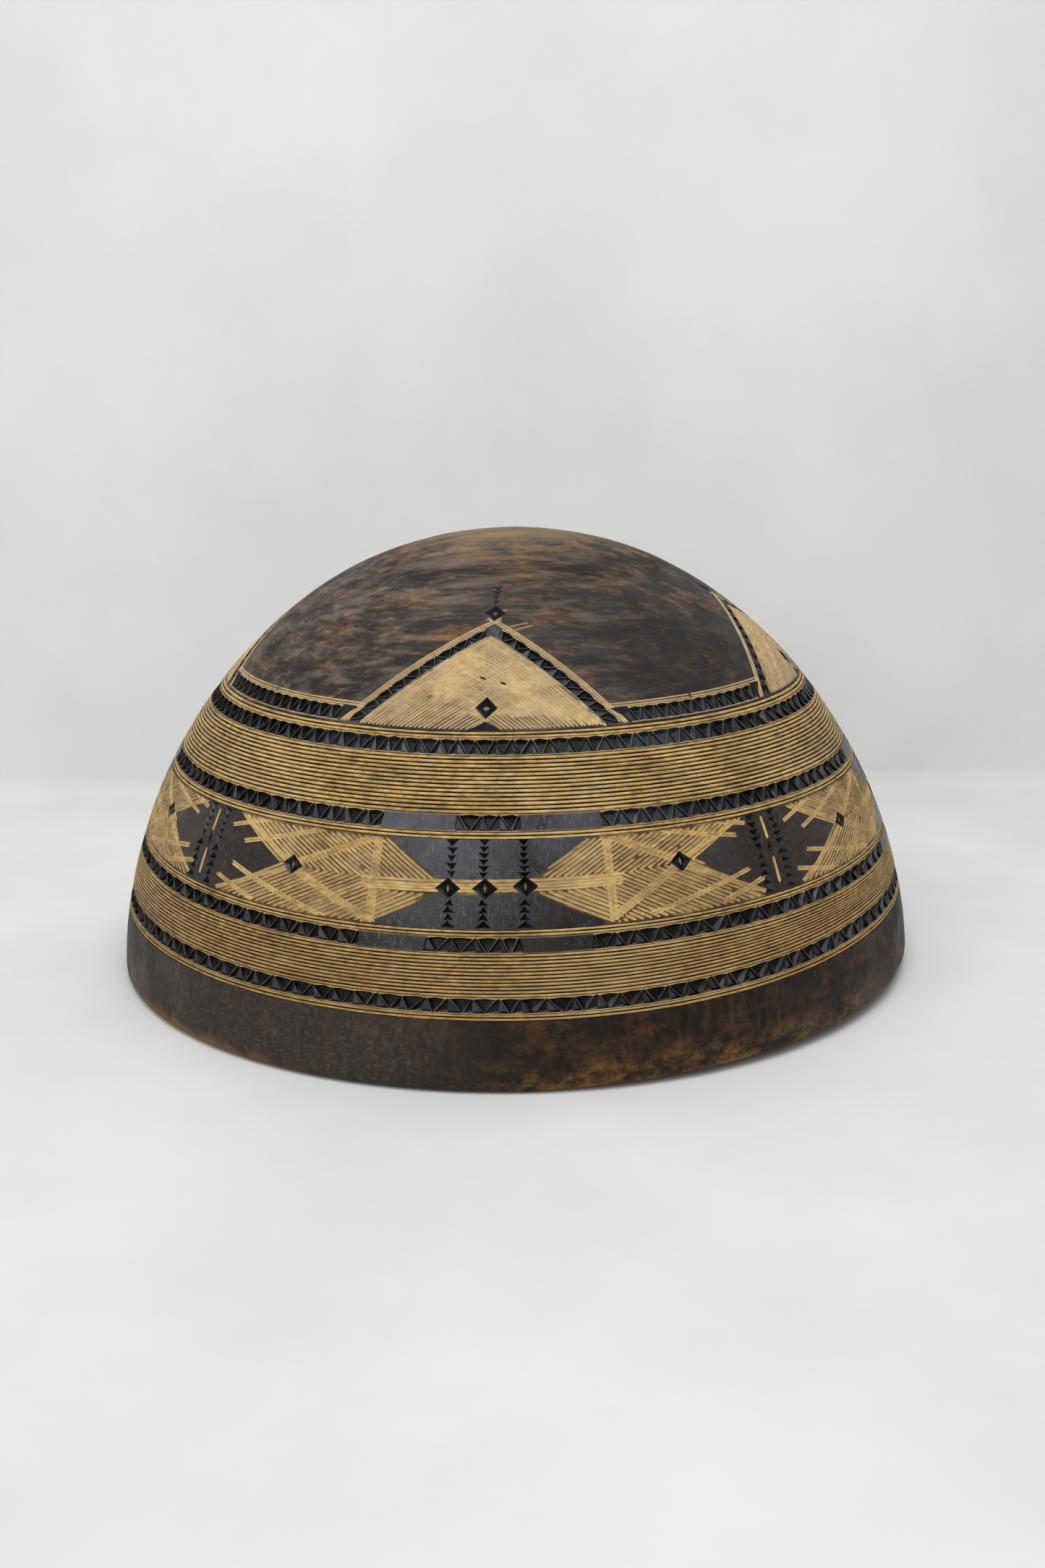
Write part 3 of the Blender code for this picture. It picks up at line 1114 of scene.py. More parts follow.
def frieze_sheet(number, tree, finish):
    """One of the four repeats."""
    left, right = FRIEZE_SPANS[number]
    front_left, front_right = FRIEZE_SPANS[0]
    width = (front_right - front_left) * FRIEZE_PER_DEGREE
    low, high = FRIEZE / MM, FRIEZE_TOP_LINES / MM
    inset = 0.45
    sides, ends = (inset, width - inset), (low + inset, high - inset)
    bounds = [(sides[0], ends[0]), (sides[1], ends[0]), (sides[1], ends[1]), (sides[0], ends[1])]
    carving = Carving(bounds, 40 + number)
    across = np.linspace(0.0, width, 121)
    rows = np.linspace(low, high, 8)
    carving.chain([(x, low) for x in across])
    carving.chain([(width, y) for y in rows])
    carving.chain([(x, high) for x in across[::-1]])
    carving.chain([(0.0, y) for y in rows[::-1]])
    for y in rows[1:-1]:
        carving.points.extend((float(x), float(y)) for x in across[2:-2:2])
    for panel in FRIEZE_PANELS:
        carving.chain(dense(frieze_places(*panel)), closed=True)
    carve_hatching(carving)
    carve_bundles(carving)
    carve_frieze_chips(carving)

    def unflatten(places):
        turn = left + places[:, 0] / width * (right - left)
        return np.column_stack([np.radians(turn), places[:, 1] * MM])

    name = "frieze_" + PIECE_NAMES[number]

    def keep(middles):
        return (middles[:, 1] > low + 1e-4) & (middles[:, 1] < high - 1e-4)

    mesh = carving.to_mesh(name, unflatten, frieze_ground(60 + number), keep)
    return finish_piece(apply_tree(name, tree, {"Finish": finish}, mesh))


# ---------------------------------------------------------------- the triangles

GNOMON_LIFT = math.radians(62)
GNOMON_RADIUS = 178.0
TRIANGLE_MIDDLE = -5.5
OUT_LIFT = np.arctan2(OUT_UP, np.maximum(OUT_ACROSS, 1e-9))


def knife_plane(turn, up):
    """A place on the plane where every straight knife cut over the dome is a straight line."""
    turn = np.radians(np.asarray(turn, float) - TRIANGLE_MIDDLE)
    lift = np.interp(np.asarray(up, float) * MM, OUT_CLIMB, OUT_LIFT)
    toward = np.cos(lift) * np.cos(turn) * math.cos(GNOMON_LIFT) + np.sin(lift) * math.sin(GNOMON_LIFT)
    right = np.cos(lift) * np.sin(turn)
    above = np.sin(lift) * math.cos(GNOMON_LIFT) - np.cos(lift) * np.cos(turn) * math.sin(GNOMON_LIFT)
    return np.stack([right / toward, above / toward], axis=-1) * GNOMON_RADIUS


def off_knife_plane(places):
    """The turn in degrees and the distance up, in millimetres, of places on that plane."""
    x, y = places[:, 0] / GNOMON_RADIUS, places[:, 1] / GNOMON_RADIUS
    forward = math.cos(GNOMON_LIFT) - y * math.sin(GNOMON_LIFT)
    upward = math.sin(GNOMON_LIFT) + y * math.cos(GNOMON_LIFT)
    lift = np.arctan2(upward, np.hypot(x, forward))
    turn = np.degrees(np.arctan2(x, forward)) + TRIANGLE_MIDDLE
    return turn, np.interp(lift, OUT_LIFT, OUT_CLIMB) / MM


def plane_points(*pairs):
    """Places on the knife plane, from (turn, up) pairs."""
    return [tuple(knife_plane(*pair)) for pair in pairs]


OUTER_CORNERS = ((-31.0, 131.6), (-4.0, 182.0), (20.0, 131.6))
INNER_CORNERS = ((-27.2, 131.3), (-4.7, 174.0), (16.1, 131.3))


def along(a, b, share):
    """The place that is this share of the way from a to b."""
    return tuple(np.asarray(a) * (1 - share) + np.asarray(b) * share)


def carve_triangle(carving):
    """A hatched triangle with chips down its two sides and a small diamond in it."""
    outer = plane_points(*OUTER_CORNERS)
    inner = plane_points(*INNER_CORNERS)
    base = [tuple(knife_plane(t, 131.35)) for t in np.linspace(INNER_CORNERS[0][0], INNER_CORNERS[2][0], 13)]
    centre = tuple(knife_plane(-4.7, 131.35))

    for side, (foot, way) in enumerate(((0, 1.0), (2, -1.0))):
        low, top = np.array(outer[foot]), np.array(outer[1])
        run = (top - low) / np.linalg.norm(top - low)
        into = np.array([run[1], -run[0]]) * way
        carving.bundle(low + into * 0.3, top + into * 0.3 + run * 2.5, 2, 1.15, 0.42, 0.45)
        strip_low = low + into * 1.7
        strip_top = top + into * 1.7 - run * 3.0
        inner_low, inner_top = np.array(inner[foot]) - into * 0.3, np.array(inner[1]) - into * 0.3
        corners = [inner_low, inner_top, strip_top, strip_low]
        if way < 0:
            corners = [inner_top, inner_low, strip_low, strip_top]
        short = [along(corners[0], corners[1], 0.03), along(corners[0], corners[1], 0.97)]
        long = [along(corners[3], corners[2], 0.97), along(corners[3], corners[2], 0.03)]
        carving.teeth(short + long, 9, 1.4)
        angle = math.degrees(math.atan2(run[1], run[0]))
        half = [p for p in base if (p[0] <= centre[0]) == (side == 0)] + [centre]
        half = sorted(set(half))
        spread = along(inner[1], inner[2 - foot], 0.30)
        zone = half + [spread, inner[1]] if side == 0 else [inner[1], spread] + half
        carving.hatch(zone, angle, *TRIANGLE_HATCH, FINE_DEPTH, over=0.0)

    middle = plane_points((-4.5, 140.5))[0]
    for end in ((9.0, 152.0), (-15.0, 150.0)):
        carving.bundle(middle, knife_plane(*end), 2, 1.0, 0.36, 0.36)
    carving.diamond(middle, 4.4, 5.2, 1.5, island=(1.5, 1.0))
    foot = plane_points((-7.4, 131.3), (-1.9, 131.3), (-4.5, 135.0), (-4.5, 132.4))
    carving.pit([foot[0], foot[1], foot[2]], foot[3], 1.1)
    for turn, up in ((-5.6, 153.6), (-1.6, 151.2)):
        x, y = knife_plane(turn, up)
        nick = [(x - 1.4, y + 0.9), (x - 0.8, y - 0.1), (x + 1.4, y - 0.9), (x + 0.7, y + 0.3)]
        carving.pit(nick, (x, y), 0.5)
    tip = knife_plane(-4.2, 186.3)
    carving.diamond(tip, 4.2, 4.6, 1.0, island=(1.2, 1.4), island_bare=0.0)
    carving.chip_row(knife_plane(-4.4, 203.0), knife_plane(-4.3, 191.2), 4, 3.0, 0.9)
    # Cuts that ran on past the apex.
    for start, end in (
        ((-0.8, 178.6), (4.4, 181.0)),
        ((0.4, 176.6), (5.4, 179.4)),
        ((-6.6, 182.0), (-1.0, 189.0)),
    ):
        carving.stroke(knife_plane(*start), knife_plane(*end), 0.3, 0.25, bare=0.7)


def triangle_ground(seed):
    """How bare and how black the untouched surface of the triangles is; the strip of teeth takes a painted
    blue-grey sheen.
    """
    inside_shape = plane_points(*INNER_CORNERS)
    strip_shape = plane_points((-31.2, 130.5), OUTER_CORNERS[1], (20.2, 130.5))

    def ground(places):
        patches = smooth_random(places, 12.0, seed) * 0.65 + smooth_random(places, 2.6, seed + 1) * 0.35
        bare = np.zeros(len(places))
        char_shade_and_sheen = np.zeros(len(places))
        strip = inside_polygon(places, strip_shape)
        # Painted highlight: the strip takes the painted blue-grey sheen look.
        char_shade_and_sheen[strip] = PAINTED_SHEEN_LOOK
        hatched = inside_polygon(places, inside_shape)
        char_shade_and_sheen[hatched] = 0.0
        bare[hatched] = np.clip((patches[hatched] - 0.28) * 2.6, 0.08, 0.95)
        return bare, char_shade_and_sheen

    return ground


def tooth_gaps():
    """The gap after each triangle: where it starts and ends, how many teeth it has, and where sheets meet."""
    gaps = []
    for number, (_, right) in enumerate(TRIANGLE_BASES):
        after = TRIANGLE_BASES[(number + 1) % 4][0] + (360.0 if number == 3 else 0.0)
        count = round((after - right) / 2.95)
        half = count // 2
        gaps.append((right, after, count, half, right + (after - right) * half / count))
    return gaps


def triangle_sheet(number, tree, finish):
    """One quarter of the band that holds the triangles, from the lines under it up to the crown."""
    gaps = tooth_gaps()
    start, _, _, half, right_edge = gaps[number]
    before_start, before_end, before_count, before_half, left_edge = gaps[number - 1]
    shift = TRIANGLE_BASES[number][0] - TRIANGLE_BASES[0][0]
    if number == 0:
        before_start, before_end, left_edge = before_start - 360, before_end - 360, left_edge - 360
    left, right = left_edge - shift, right_edge - shift
    low, high = TRIANGLES / MM, CROWN / MM
    lower = [tuple(knife_plane(t, low)) for t in np.linspace(left, right, 121)]
    upper = [tuple(knife_plane(t, high)) for t in np.linspace(right, left, 61)]
    rows = np.linspace(low, high, 20)
    bounds = [tuple(knife_plane(t, low + 0.45)) for t in np.linspace(left + 0.3, right - 0.3, 31)]
    bounds += [tuple(knife_plane(t, high - 0.5)) for t in (right - 0.3, TRIANGLE_MIDDLE, left + 0.3)]
    carving = Carving(bounds, 80 + number)
    carving.chain(lower)
    carving.chain([tuple(knife_plane(right, y)) for y in rows])
    carving.chain(upper)
    carving.chain([tuple(knife_plane(left, y)) for y in rows[::-1]])
    for y in rows[1:-1]:
        for t in np.linspace(left, right, 42)[1:-1]:
            carving.points.append(tuple(knife_plane(t, y)))

    # The teeth that run on between the triangles, with one pale line above them.
    for first, last, cells in (
        (start - shift, right, half),
        (left, before_end - shift, before_count - before_half),
    ):
        if first > left + 1e-6:
            edge, way = first, 1.0
            first += 0.9
        else:
            edge, way = last, -1.0
            last -= 0.9
        wedge = ((0.9, 131.9), (0.9, 138.2), (-2.5, 138.2), (0.1, 135.8))
        wedge = plane_points(*((edge + way * turn, up) for turn, up in wedge))
        carving.pit(wedge[:3], wedge[3], 1.2)
        pitch = (last - first) / cells
        for i in range(cells):
            a, b = first + pitch * i, first + pitch * (i + 1)
            a = max(a, left + 0.02)
            b = min(b, right - 0.02)
            carving.teeth(plane_points((a, 131.7), (b, 131.7), (b, 138.3), (a, 138.3)), 1, 1.5)
        stations = np.linspace(max(first - 4.6, left + 0.25), min(last + 4.6, right - 0.25), 16)
        for up in (138.9, 140.0):
            widths = 0.30 + 0.12 * carving.rng.random(16)
            carving.cut([knife_plane(t, up) for t in stations], widths, 0.3)
    carve_triangle(carving)

    def unflatten(places):
        turn, up = off_knife_plane(places)
        return np.column_stack([np.radians(turn + shift), up * MM])

    def keep(middles):
        turn, up = off_knife_plane(middles)
        return (turn > left + 1e-4) & (turn < right - 1e-4) & (up > low - 1e-3) & (up < high + 1e-3)

    name = "triangles_" + PIECE_NAMES[number]
    mesh = carving.to_mesh(name, unflatten, triangle_ground(90 + number), keep)
    return finish_piece(apply_tree(name, tree, {"Finish": finish}, mesh))


# ---------------------------------------------------------------- the body and the hollow


def inner_outline(steps=70):
    """The hollow's outline, from just inside the rim up to the axis."""
    radius = OUTER_RADIUS - RIM_THICKNESS
    height = HEIGHT - CROWN_THICKNESS
    first = math.asin((RIM_INNER_ROUND / height) ** (CROWN_POWER / 2))
    lift = np.linspace(first, math.pi / 2, steps)
    across = radius * np.clip(np.cos(lift), 0.0, 1.0) ** (2 / SIDE_POWER)
    across[-1] = 0.0
    return list(zip(across, height * np.sin(lift) ** (2 / CROWN_POWER)))


def body_section():
    """The body's section: under the surface pieces, round the rim's inner edge and up the hollow."""
    under = []
    for up in np.linspace(DOME_LENGTH, 0.001, 70):
        across = float(np.interp(up, OUT_CLIMB, OUT_ACROSS))
        height = float(np.interp(up, OUT_CLIMB, OUT_UP))
        below, above = up - 0.0005, up + 0.0005
        ahead = float(np.interp(above, OUT_CLIMB, OUT_ACROSS) - np.interp(below, OUT_CLIMB, OUT_ACROSS))
        rise = float(np.interp(above, OUT_CLIMB, OUT_UP) - np.interp(below, OUT_CLIMB, OUT_UP))
        size = math.hypot(ahead, rise)
        depth = BODY_DEPTH + 0.0016 * max(0.0, 1 - up / 0.02)
        under.append((max(across - depth * rise / size, 0.0), max(height + depth * ahead / size, 0.0)))
    under[0] = (0.0, under[0][1])
    under[-1] = (under[-1][0], 0.0)
    inside = inner_outline()
    centre = inside[0][0] + RIM_INNER_ROUND
    rounding = [
        (centre - RIM_INNER_ROUND * math.sin(a), RIM_INNER_ROUND - RIM_INNER_ROUND * math.cos(a))
        for a in np.linspace(0.0, math.pi / 2, 7)[:-1]
    ]
    return under + rounding + inside


def hollow_body(finish, columns=288):
    """The body with its hollow, turned round the axis. The hollow keeps shallow gouge marks."""
    section = body_section()
    inner_from = len(section) - 70
    places, faces = [], []
    rows = []
    for number, (across, height) in enumerate(section):
        if across < 1e-6:
            rows.append([len(places)] * columns)
            places.append((0.0, 0.0, height))
            continue
        first = len(places)
        for column in range(columns):
            turn = FULL_TURN * column / columns
            mark = 0.0
            if number > inner_from + 3:
                sweep = math.sin(turn * 26 + 1.3 * math.sin(height * 90)) * math.sin(height * 260 + 2 * turn)
                mark = 0.00022 * sweep * min(1.0, across / 0.03)
            wide = across + mark
            lift = max(wide * math.cos(turn - RISE_TURN) - RISE_START, 0.0)
            lift *= RIM_RISE / (OUTER_RADIUS - RISE_START) * max(0.0, 1 - height / RISE_FADE)
            places.append((wide * math.sin(turn), -wide * math.cos(turn), height + lift))
        rows.append(list(range(first, first + columns)))
    for lower, upper in zip(rows, rows[1:]):
        for column in range(columns):
            after = (column + 1) % columns
            corners = (lower[column], upper[column], upper[after], lower[after])
            corners = tuple(dict.fromkeys(corners))
            if len(corners) > 2:
                faces.append(corners)
    mesh = bpy.data.meshes.new("hollow_body")
    mesh.from_pydata(places, [], faces)
    mesh.materials.append(finish)
    piece = bpy.data.objects.new("hollow_body", mesh)
    bpy.context.scene.collection.objects.link(piece)
    return finish_piece(piece, math.radians(50))


# ---------------------------------------------------------------- finishes


def tone(red, green, blue):
    """A colour from its 0 to 255 display values."""
    parts = [c / 255 for c in (red, green, blue)]
    return tuple(c / 12.92 if c <= 0.04045 else ((c + 0.055) / 1.055) ** 2.4 for c in parts) + (1.0,)


def ramp(tree, fac, *stops):
    """A colour ramp with its stops as (place, colour)."""
    made = add(tree, "ShaderNodeValToRGB", [fac])
    bar = made.color_ramp
    bar.elements[0].position, bar.elements[0].color = stops[0]
    bar.elements[1].position, bar.elements[1].color = stops[-1]
    for place, colour in stops[1:-1]:
        bar.elements.new(place).color = colour
    return made.outputs[0]


def blend(tree, fac, first, second, kind="MIX"):
    made = tree.nodes.new("ShaderNodeMix")
    made.data_type = "RGBA"
    made.blend_type = kind
    colours = [s for s in made.inputs if s.type == "RGBA"]
    feed(tree, made.inputs[0], fac)
    feed(tree, colours[0], first)
    feed(tree, colours[1], second)
    return [s for s in made.outputs if s.type == "RGBA"][0]


def grain(tree, vector, scale, detail=4.0, roughness=0.55):
    made = add(
        tree,
        "ShaderNodeTexNoise",
        {"Vector": vector, "Scale": scale, "Detail": detail, "Roughness": roughness},
    )
    return made.outputs[0]


def stretched(tree, vector, x, y, z):
    made = add(tree, "ShaderNodeVectorMath", [vector, (x, y, z)], operation="MULTIPLY")
    return made.outputs[0]


def between(tree, value, low, high):
    """0 under low, 1 over high and straight between."""
    made = add(tree, "ShaderNodeMapRange", {"Value": value, "From Min": low, "From Max": high})
    return made.outputs[0]


def marked(tree, name):
    """The value that the mesh holds under this name."""
    return add(tree, "ShaderNodeAttribute", attribute_name=name).outputs["Fac"]


def new_finish(name):
    finish = bpy.data.materials.new(name)
    finish.use_nodes = True
    tree = finish.node_tree
    place = tree.nodes.new("ShaderNodeTexCoord").outputs["Object"]
    return finish, tree, tree.nodes["Principled BSDF"], place


def up_the_wall(tree, place):
    """The same place pulled out to one radius, with little change up the wall, for marks that run up it."""
    flat = stretched(tree, place, 1.0, 1.0, 0.0)
    unit = add(tree, "ShaderNodeVectorMath", [flat], operation="NORMALIZE").outputs[0]
    low = stretched(tree, place, 0.0, 0.0, 0.35)
    wide = stretched(tree, unit, 0.16, 0.16, 0.0)
    return add(tree, "ShaderNodeVectorMath", [wide, low], operation="ADD").outputs[0]


def ochre_wood(tree, place):
    """Pale cut wood gone ochre, with brown and olive stains."""
    fine = grain(tree, stretched(tree, place, 1.0, 1.0, 2.6), 300.0)
    colour = ramp(
        tree, fine, (0.28, tone(136, 102, 50)), (0.46, tone(184, 148, 84)), (0.72, tone(220, 184, 114))
    )
    broad = grain(tree, stretched(tree, place, 1.0, 1.0, 3.6), 34.0, 6.0, 0.66)
    stain = between(tree, broad, 0.50, 0.68)
    colour = blend(tree, times(tree, stain, 0.6), colour, tone(104, 76, 38))
    olive = between(tree, grain(tree, stretched(tree, place, 1.0, 1.0, 2.0), 85.0, 4.0), 0.54, 0.70)
    colour = blend(tree, times(tree, olive, 0.5), colour, tone(106, 94, 54))
    worn = between(tree, grain(tree, place, 17.0, 3.0), 0.50, 0.64)
    return blend(tree, times(tree, worn, 0.35), colour, tone(224, 192, 130))


def burnt_wood(tree, place):
    """Burnished black wood with fine upright tool marks, and a painted slate-blue highlight on the upper
    panels.
    """
    upright = grain(tree, up_the_wall(tree, place), 1300.0, 4.0, 0.6)
    mottle = grain(tree, place, 60.0, 4.0)
    colour = ramp(tree, upright, (0.40, tone(16, 15, 16)), (0.56, tone(32, 30, 31)), (0.74, tone(92, 90, 93)))
    level = grain(tree, stretched(tree, place, 0.5, 0.5, 4.0), 900.0, 3.0)
    level = times(tree, between(tree, level, 0.54, 0.70), 0.4)
    colour = blend(tree, level, colour, tone(86, 86, 94))
    mottle = times(tree, between(tree, mottle, 0.50, 0.70), 0.7)
    colour = blend(tree, mottle, colour, tone(36, 22, 14))
    # Painted reflection: a patchy slate-blue sheen on the upper panels, on both sides of the front.
    across, _, height = add(tree, "ShaderNodeSeparateXYZ", [place]).outputs
    aside = calc(tree, "ABSOLUTE", across)
    outward = times(tree, between(tree, aside, -0.014, 0.050), between(tree, aside, 0.084, 0.060))
    painted_panel_sheen = times(tree, between(tree, height, 0.058, 0.088), outward)
    painted_panel_sheen = times(tree, painted_panel_sheen, between(tree, grain(tree, place, 55.0, 5.0), 0.30, 0.62))
    return blend(tree, times(tree, painted_panel_sheen, 0.7), colour, tone(108, 110, 122))


def dark_wood(tree, place):
    """The plain stained surface between the cuts."""
    fine = grain(tree, stretched(tree, place, 1.0, 1.0, 2.0), 190.0)
    return ramp(tree, fine, (0.3, tone(34, 22, 12)), (0.6, tone(66, 44, 24)), (0.8, tone(100, 68, 38)))


def crown_wood(tree, place):
    """The weathered dark crown: streaks of grain, orange-brown mottles and a pale worn top, with painted
    shade on its right side and a painted grey highlight on its left.
    """
    streaks = grain(tree, stretched(tree, place, 0.5, 2.4, 4.6), 90.0, 9.0, 0.75)
    colour = ramp(
        tree,
        streaks,
        (0.39, tone(12, 9, 8)),
        (0.49, tone(36, 28, 23)),
        (0.58, tone(88, 69, 54)),
        (0.70, tone(156, 122, 90)),
    )
    across, _, height = add(tree, "ShaderNodeSeparateXYZ", [place]).outputs
    high = between(tree, height, 0.125, 0.172)
    arcs = grain(tree, stretched(tree, place, 0.30, 1.0, 4.4), 60.0, 5.0, 0.6)
    dark_arcs = times(tree, between(tree, arcs, 0.50, 0.40), 0.75)
    colour = blend(tree, dark_arcs, colour, tone(15, 11, 9))
    light_arcs = times(tree, between(tree, arcs, 0.53, 0.65), 0.48)
    colour = blend(tree, light_arcs, colour, tone(128, 106, 84))
    # Painted shade: the right side is darkened.
    painted_shade_right = times(tree, between(tree, across, 0.0, 0.065), 0.82)
    colour = blend(tree, painted_shade_right, colour, tone(20, 15, 12))
    # Painted highlight: patchy grey on the left side.
    painted_highlight_left = grain(tree, stretched(tree, place, 0.7, 1.6, 3.0), 34.0, 6.0, 0.7)
    painted_highlight_left = times(tree, between(tree, painted_highlight_left, 0.50, 0.66), between(tree, across, 0.03, -0.06))
    colour = blend(tree, times(tree, painted_highlight_left, 0.45), colour, tone(112, 104, 98))
    mottle = between(tree, grain(tree, stretched(tree, place, 0.6, 1.6, 2.4), 52.0, 9.0, 0.78), 0.52, 0.66)
    mottle = times(tree, mottle, plus(tree, times(tree, high, 0.55), 0.20))
    colour = blend(tree, mottle, colour, tone(150, 102, 58))
    ragged = times(tree, minus(tree, grain(tree, place, 60.0, 8.0, 0.75), 0.5), 0.034)
    top = between(tree, plus(tree, height, ragged), 0.1730, 0.1835)
    return blend(tree, times(tree, top, 0.7), colour, tone(164, 136, 98))


def rim_wood(tree, place):
    """The plain band over the rim: greyer and scratched on one side, orange-brown on the other."""
    fine = grain(tree, up_the_wall(tree, place), 330.0, 6.0, 0.7)
    colour = ramp(tree, fine, (0.36, tone(20, 13, 9)), (0.52, tone(42, 28, 18)), (0.68, tone(74, 50, 30)))
    cloud = between(tree, grain(tree, place, 20.0, 5.0, 0.6), 0.44, 0.60)
    colour = blend(tree, times(tree, cloud, 0.6), colour, tone(24, 19, 15))
    across, _, height = add(tree, "ShaderNodeSeparateXYZ", [place]).outputs
    left = between(tree, across, -0.005, -0.045)
    scratch = between(tree, grain(tree, stretched(tree, place, 1.0, 1.0, 1.4), 520.0, 6.0, 0.7), 0.50, 0.66)
    grey = times(tree, left, plus(tree, times(tree, scratch, 0.45), 0.18))
    colour = blend(tree, grey, colour, tone(88, 84, 78))
    rust = between(tree, grain(tree, stretched(tree, place, 1.0, 1.0, 1.6), 55.0, 9.0, 0.78), 0.52, 0.68)
    right = between(tree, across, -0.03, 0.03)
    rust = times(tree, rust, plus(tree, times(tree, right, 0.40), 0.16))
    colour = blend(tree, rust, colour, tone(112, 72, 34))
    uneven = times(tree, minus(tree, grain(tree, place, 90.0, 8.0, 0.75), 0.5), 0.022)
    foot = between(tree, plus(tree, height, uneven), 0.0050, 0.0010)
    sides = calc(tree, "MAXIMUM", between(tree, across, -0.075, -0.105), between(tree, across, 0.005, 0.035))
    foot = times(tree, times(tree, foot, sides), 0.6)
    colour = blend(tree, foot, colour, tone(138, 98, 50))
    near = between(tree, height, 0.016, 0.004)
    mottle = between(tree, grain(tree, stretched(tree, place, 1.0, 1.0, 1.8), 48.0, 9.0, 0.78), 0.48, 0.62)
    mottle = times(tree, times(tree, right, mottle), times(tree, near, 0.8))
    return blend(tree, mottle, colour, tone(150, 110, 58))


def close_finish(tree, shader, place, colour, roughness, relief, gloss=0.4):
    """Feeds the shader its colour and roughness, and fine relief from the grain."""
    feed(tree, shader.inputs["Base Color"], colour)
    feed(tree, shader.inputs["Roughness"], roughness)
    shader.inputs["Specular IOR Level"].default_value = gloss
    pores = grain(tree, place, 900.0, 3.0)
    lines = grain(tree, up_the_wall(tree, place), 420.0, 3.0)
    both = plus(tree, times(tree, pores, 0.5), lines)
    bump = add(tree, "ShaderNodeBump", {"Height": both, "Strength": relief, "Distance": 0.0004})
    tree.links.new(bump.outputs[0], shader.inputs["Normal"])


def ribbed_finish():
    """For the ribs and the pale lines: ochre, nearly black in the grooves from dirt and painted shade."""
    finish, tree, shader, place = new_finish("ribbed_ochre_wood")
    groove = marked(tree, "groove")
    # The grooves are darkened: dirt in the cuts, and painted shade in them.
    patchy = plus(tree, grain(tree, place, 120.0, 4.0), 0.55)
    groove_dirt_and_shade = between(tree, times(tree, groove, patchy), 0.14, 0.36)
    height = add(tree, "ShaderNodeSeparateXYZ", [place]).outputs[2]
    low = times(tree, between(tree, height, 0.058, 0.046), 0.30)
    ochre = blend(tree, low, ochre_wood(tree, place), tone(122, 78, 36))
    colour = blend(tree, groove_dirt_and_shade, ochre, tone(26, 16, 8))
    rough = between(tree, grain(tree, place, 80.0), -0.4, 1.1)
    close_finish(tree, shader, place, colour, rough, 0.35)
    return finish


def cut_finish(name, surface, worn):
    """For carved sheets and teeth: ochre where the wood is bare, black where it is burnt, with painted
    shade in the pits and a painted blue-grey sheen on some facets.
    """
    finish, tree, shader, place = new_finish(name)
    bare = marked(tree, "bare")
    char_shade_and_sheen = marked(tree, "char_shade_and_sheen")
    pale = blend(tree, worn, ochre_wood(tree, place), tone(226, 200, 158))
    colour = blend(tree, bare, surface(tree, place), pale)
    black = between(tree, char_shade_and_sheen, 0.0, 0.7)
    colour = blend(tree, black, colour, burnt_wood(tree, place))
    # Pits are darkened below the open burnt wood: their char, with painted shade in the hollow.
    charred_shaded_pit = calc(tree, "COMPARE", char_shade_and_sheen, PIT_BLACK, 0.04)
    colour = blend(tree, times(tree, charred_shaded_pit, 0.8), colour, tone(13, 12, 13))
    # A painted highlight: faces with the slate look are painted a patchy blue-grey sheen.
    painted_sheen = calc(tree, "COMPARE", char_shade_and_sheen, PAINTED_SHEEN_LOOK, 0.05)
    patchy = between(tree, grain(tree, place, 140.0, 3.0), 0.40, 0.62)
    colour = blend(tree, times(tree, painted_sheen, 0.6), colour, tone(22, 22, 26))
    painted_sheen = times(tree, painted_sheen, times(tree, patchy, 0.6))
    colour = blend(tree, painted_sheen, colour, tone(72, 80, 92))
    dull = between(tree, grain(tree, place, 75.0), -0.5, 1.1)
    bright = between(tree, grain(tree, place, 75.0), -0.6, 2.4)
    rough = add(tree, "ShaderNodeMix", {0: char_shade_and_sheen, 2: dull, 3: bright}).outputs[0]
    close_finish(tree, shader, place, colour, rough, 0.4)
    # A pit sees little of the sky, so it shines less than the open wood.
    shine = minus(tree, 0.4, times(tree, charred_shaded_pit, 0.24))
    feed(tree, shader.inputs["Specular IOR Level"], shine)
    return finish


def plain_finish(name, surface, relief, low, high, gloss):
    """For wood with one surface and no cuts."""
    finish, tree, shader, place = new_finish(name)
    rough = between(tree, grain(tree, place, 60.0), low, high)
    close_finish(tree, shader, place, surface(tree, place), rough, relief, gloss)
    return finish


def inside_wood(tree, place):
    """The bare hollow, brown with darker grain."""
    rings = grain(tree, stretched(tree, place, 0.6, 2.0, 2.0), 60.0, 6.0, 0.6)
    return ramp(tree, rings, (0.3, tone(74, 50, 30)), (0.55, tone(118, 84, 52)), (0.8, tone(152, 112, 70)))


# ---------------------------------------------------------------- bands


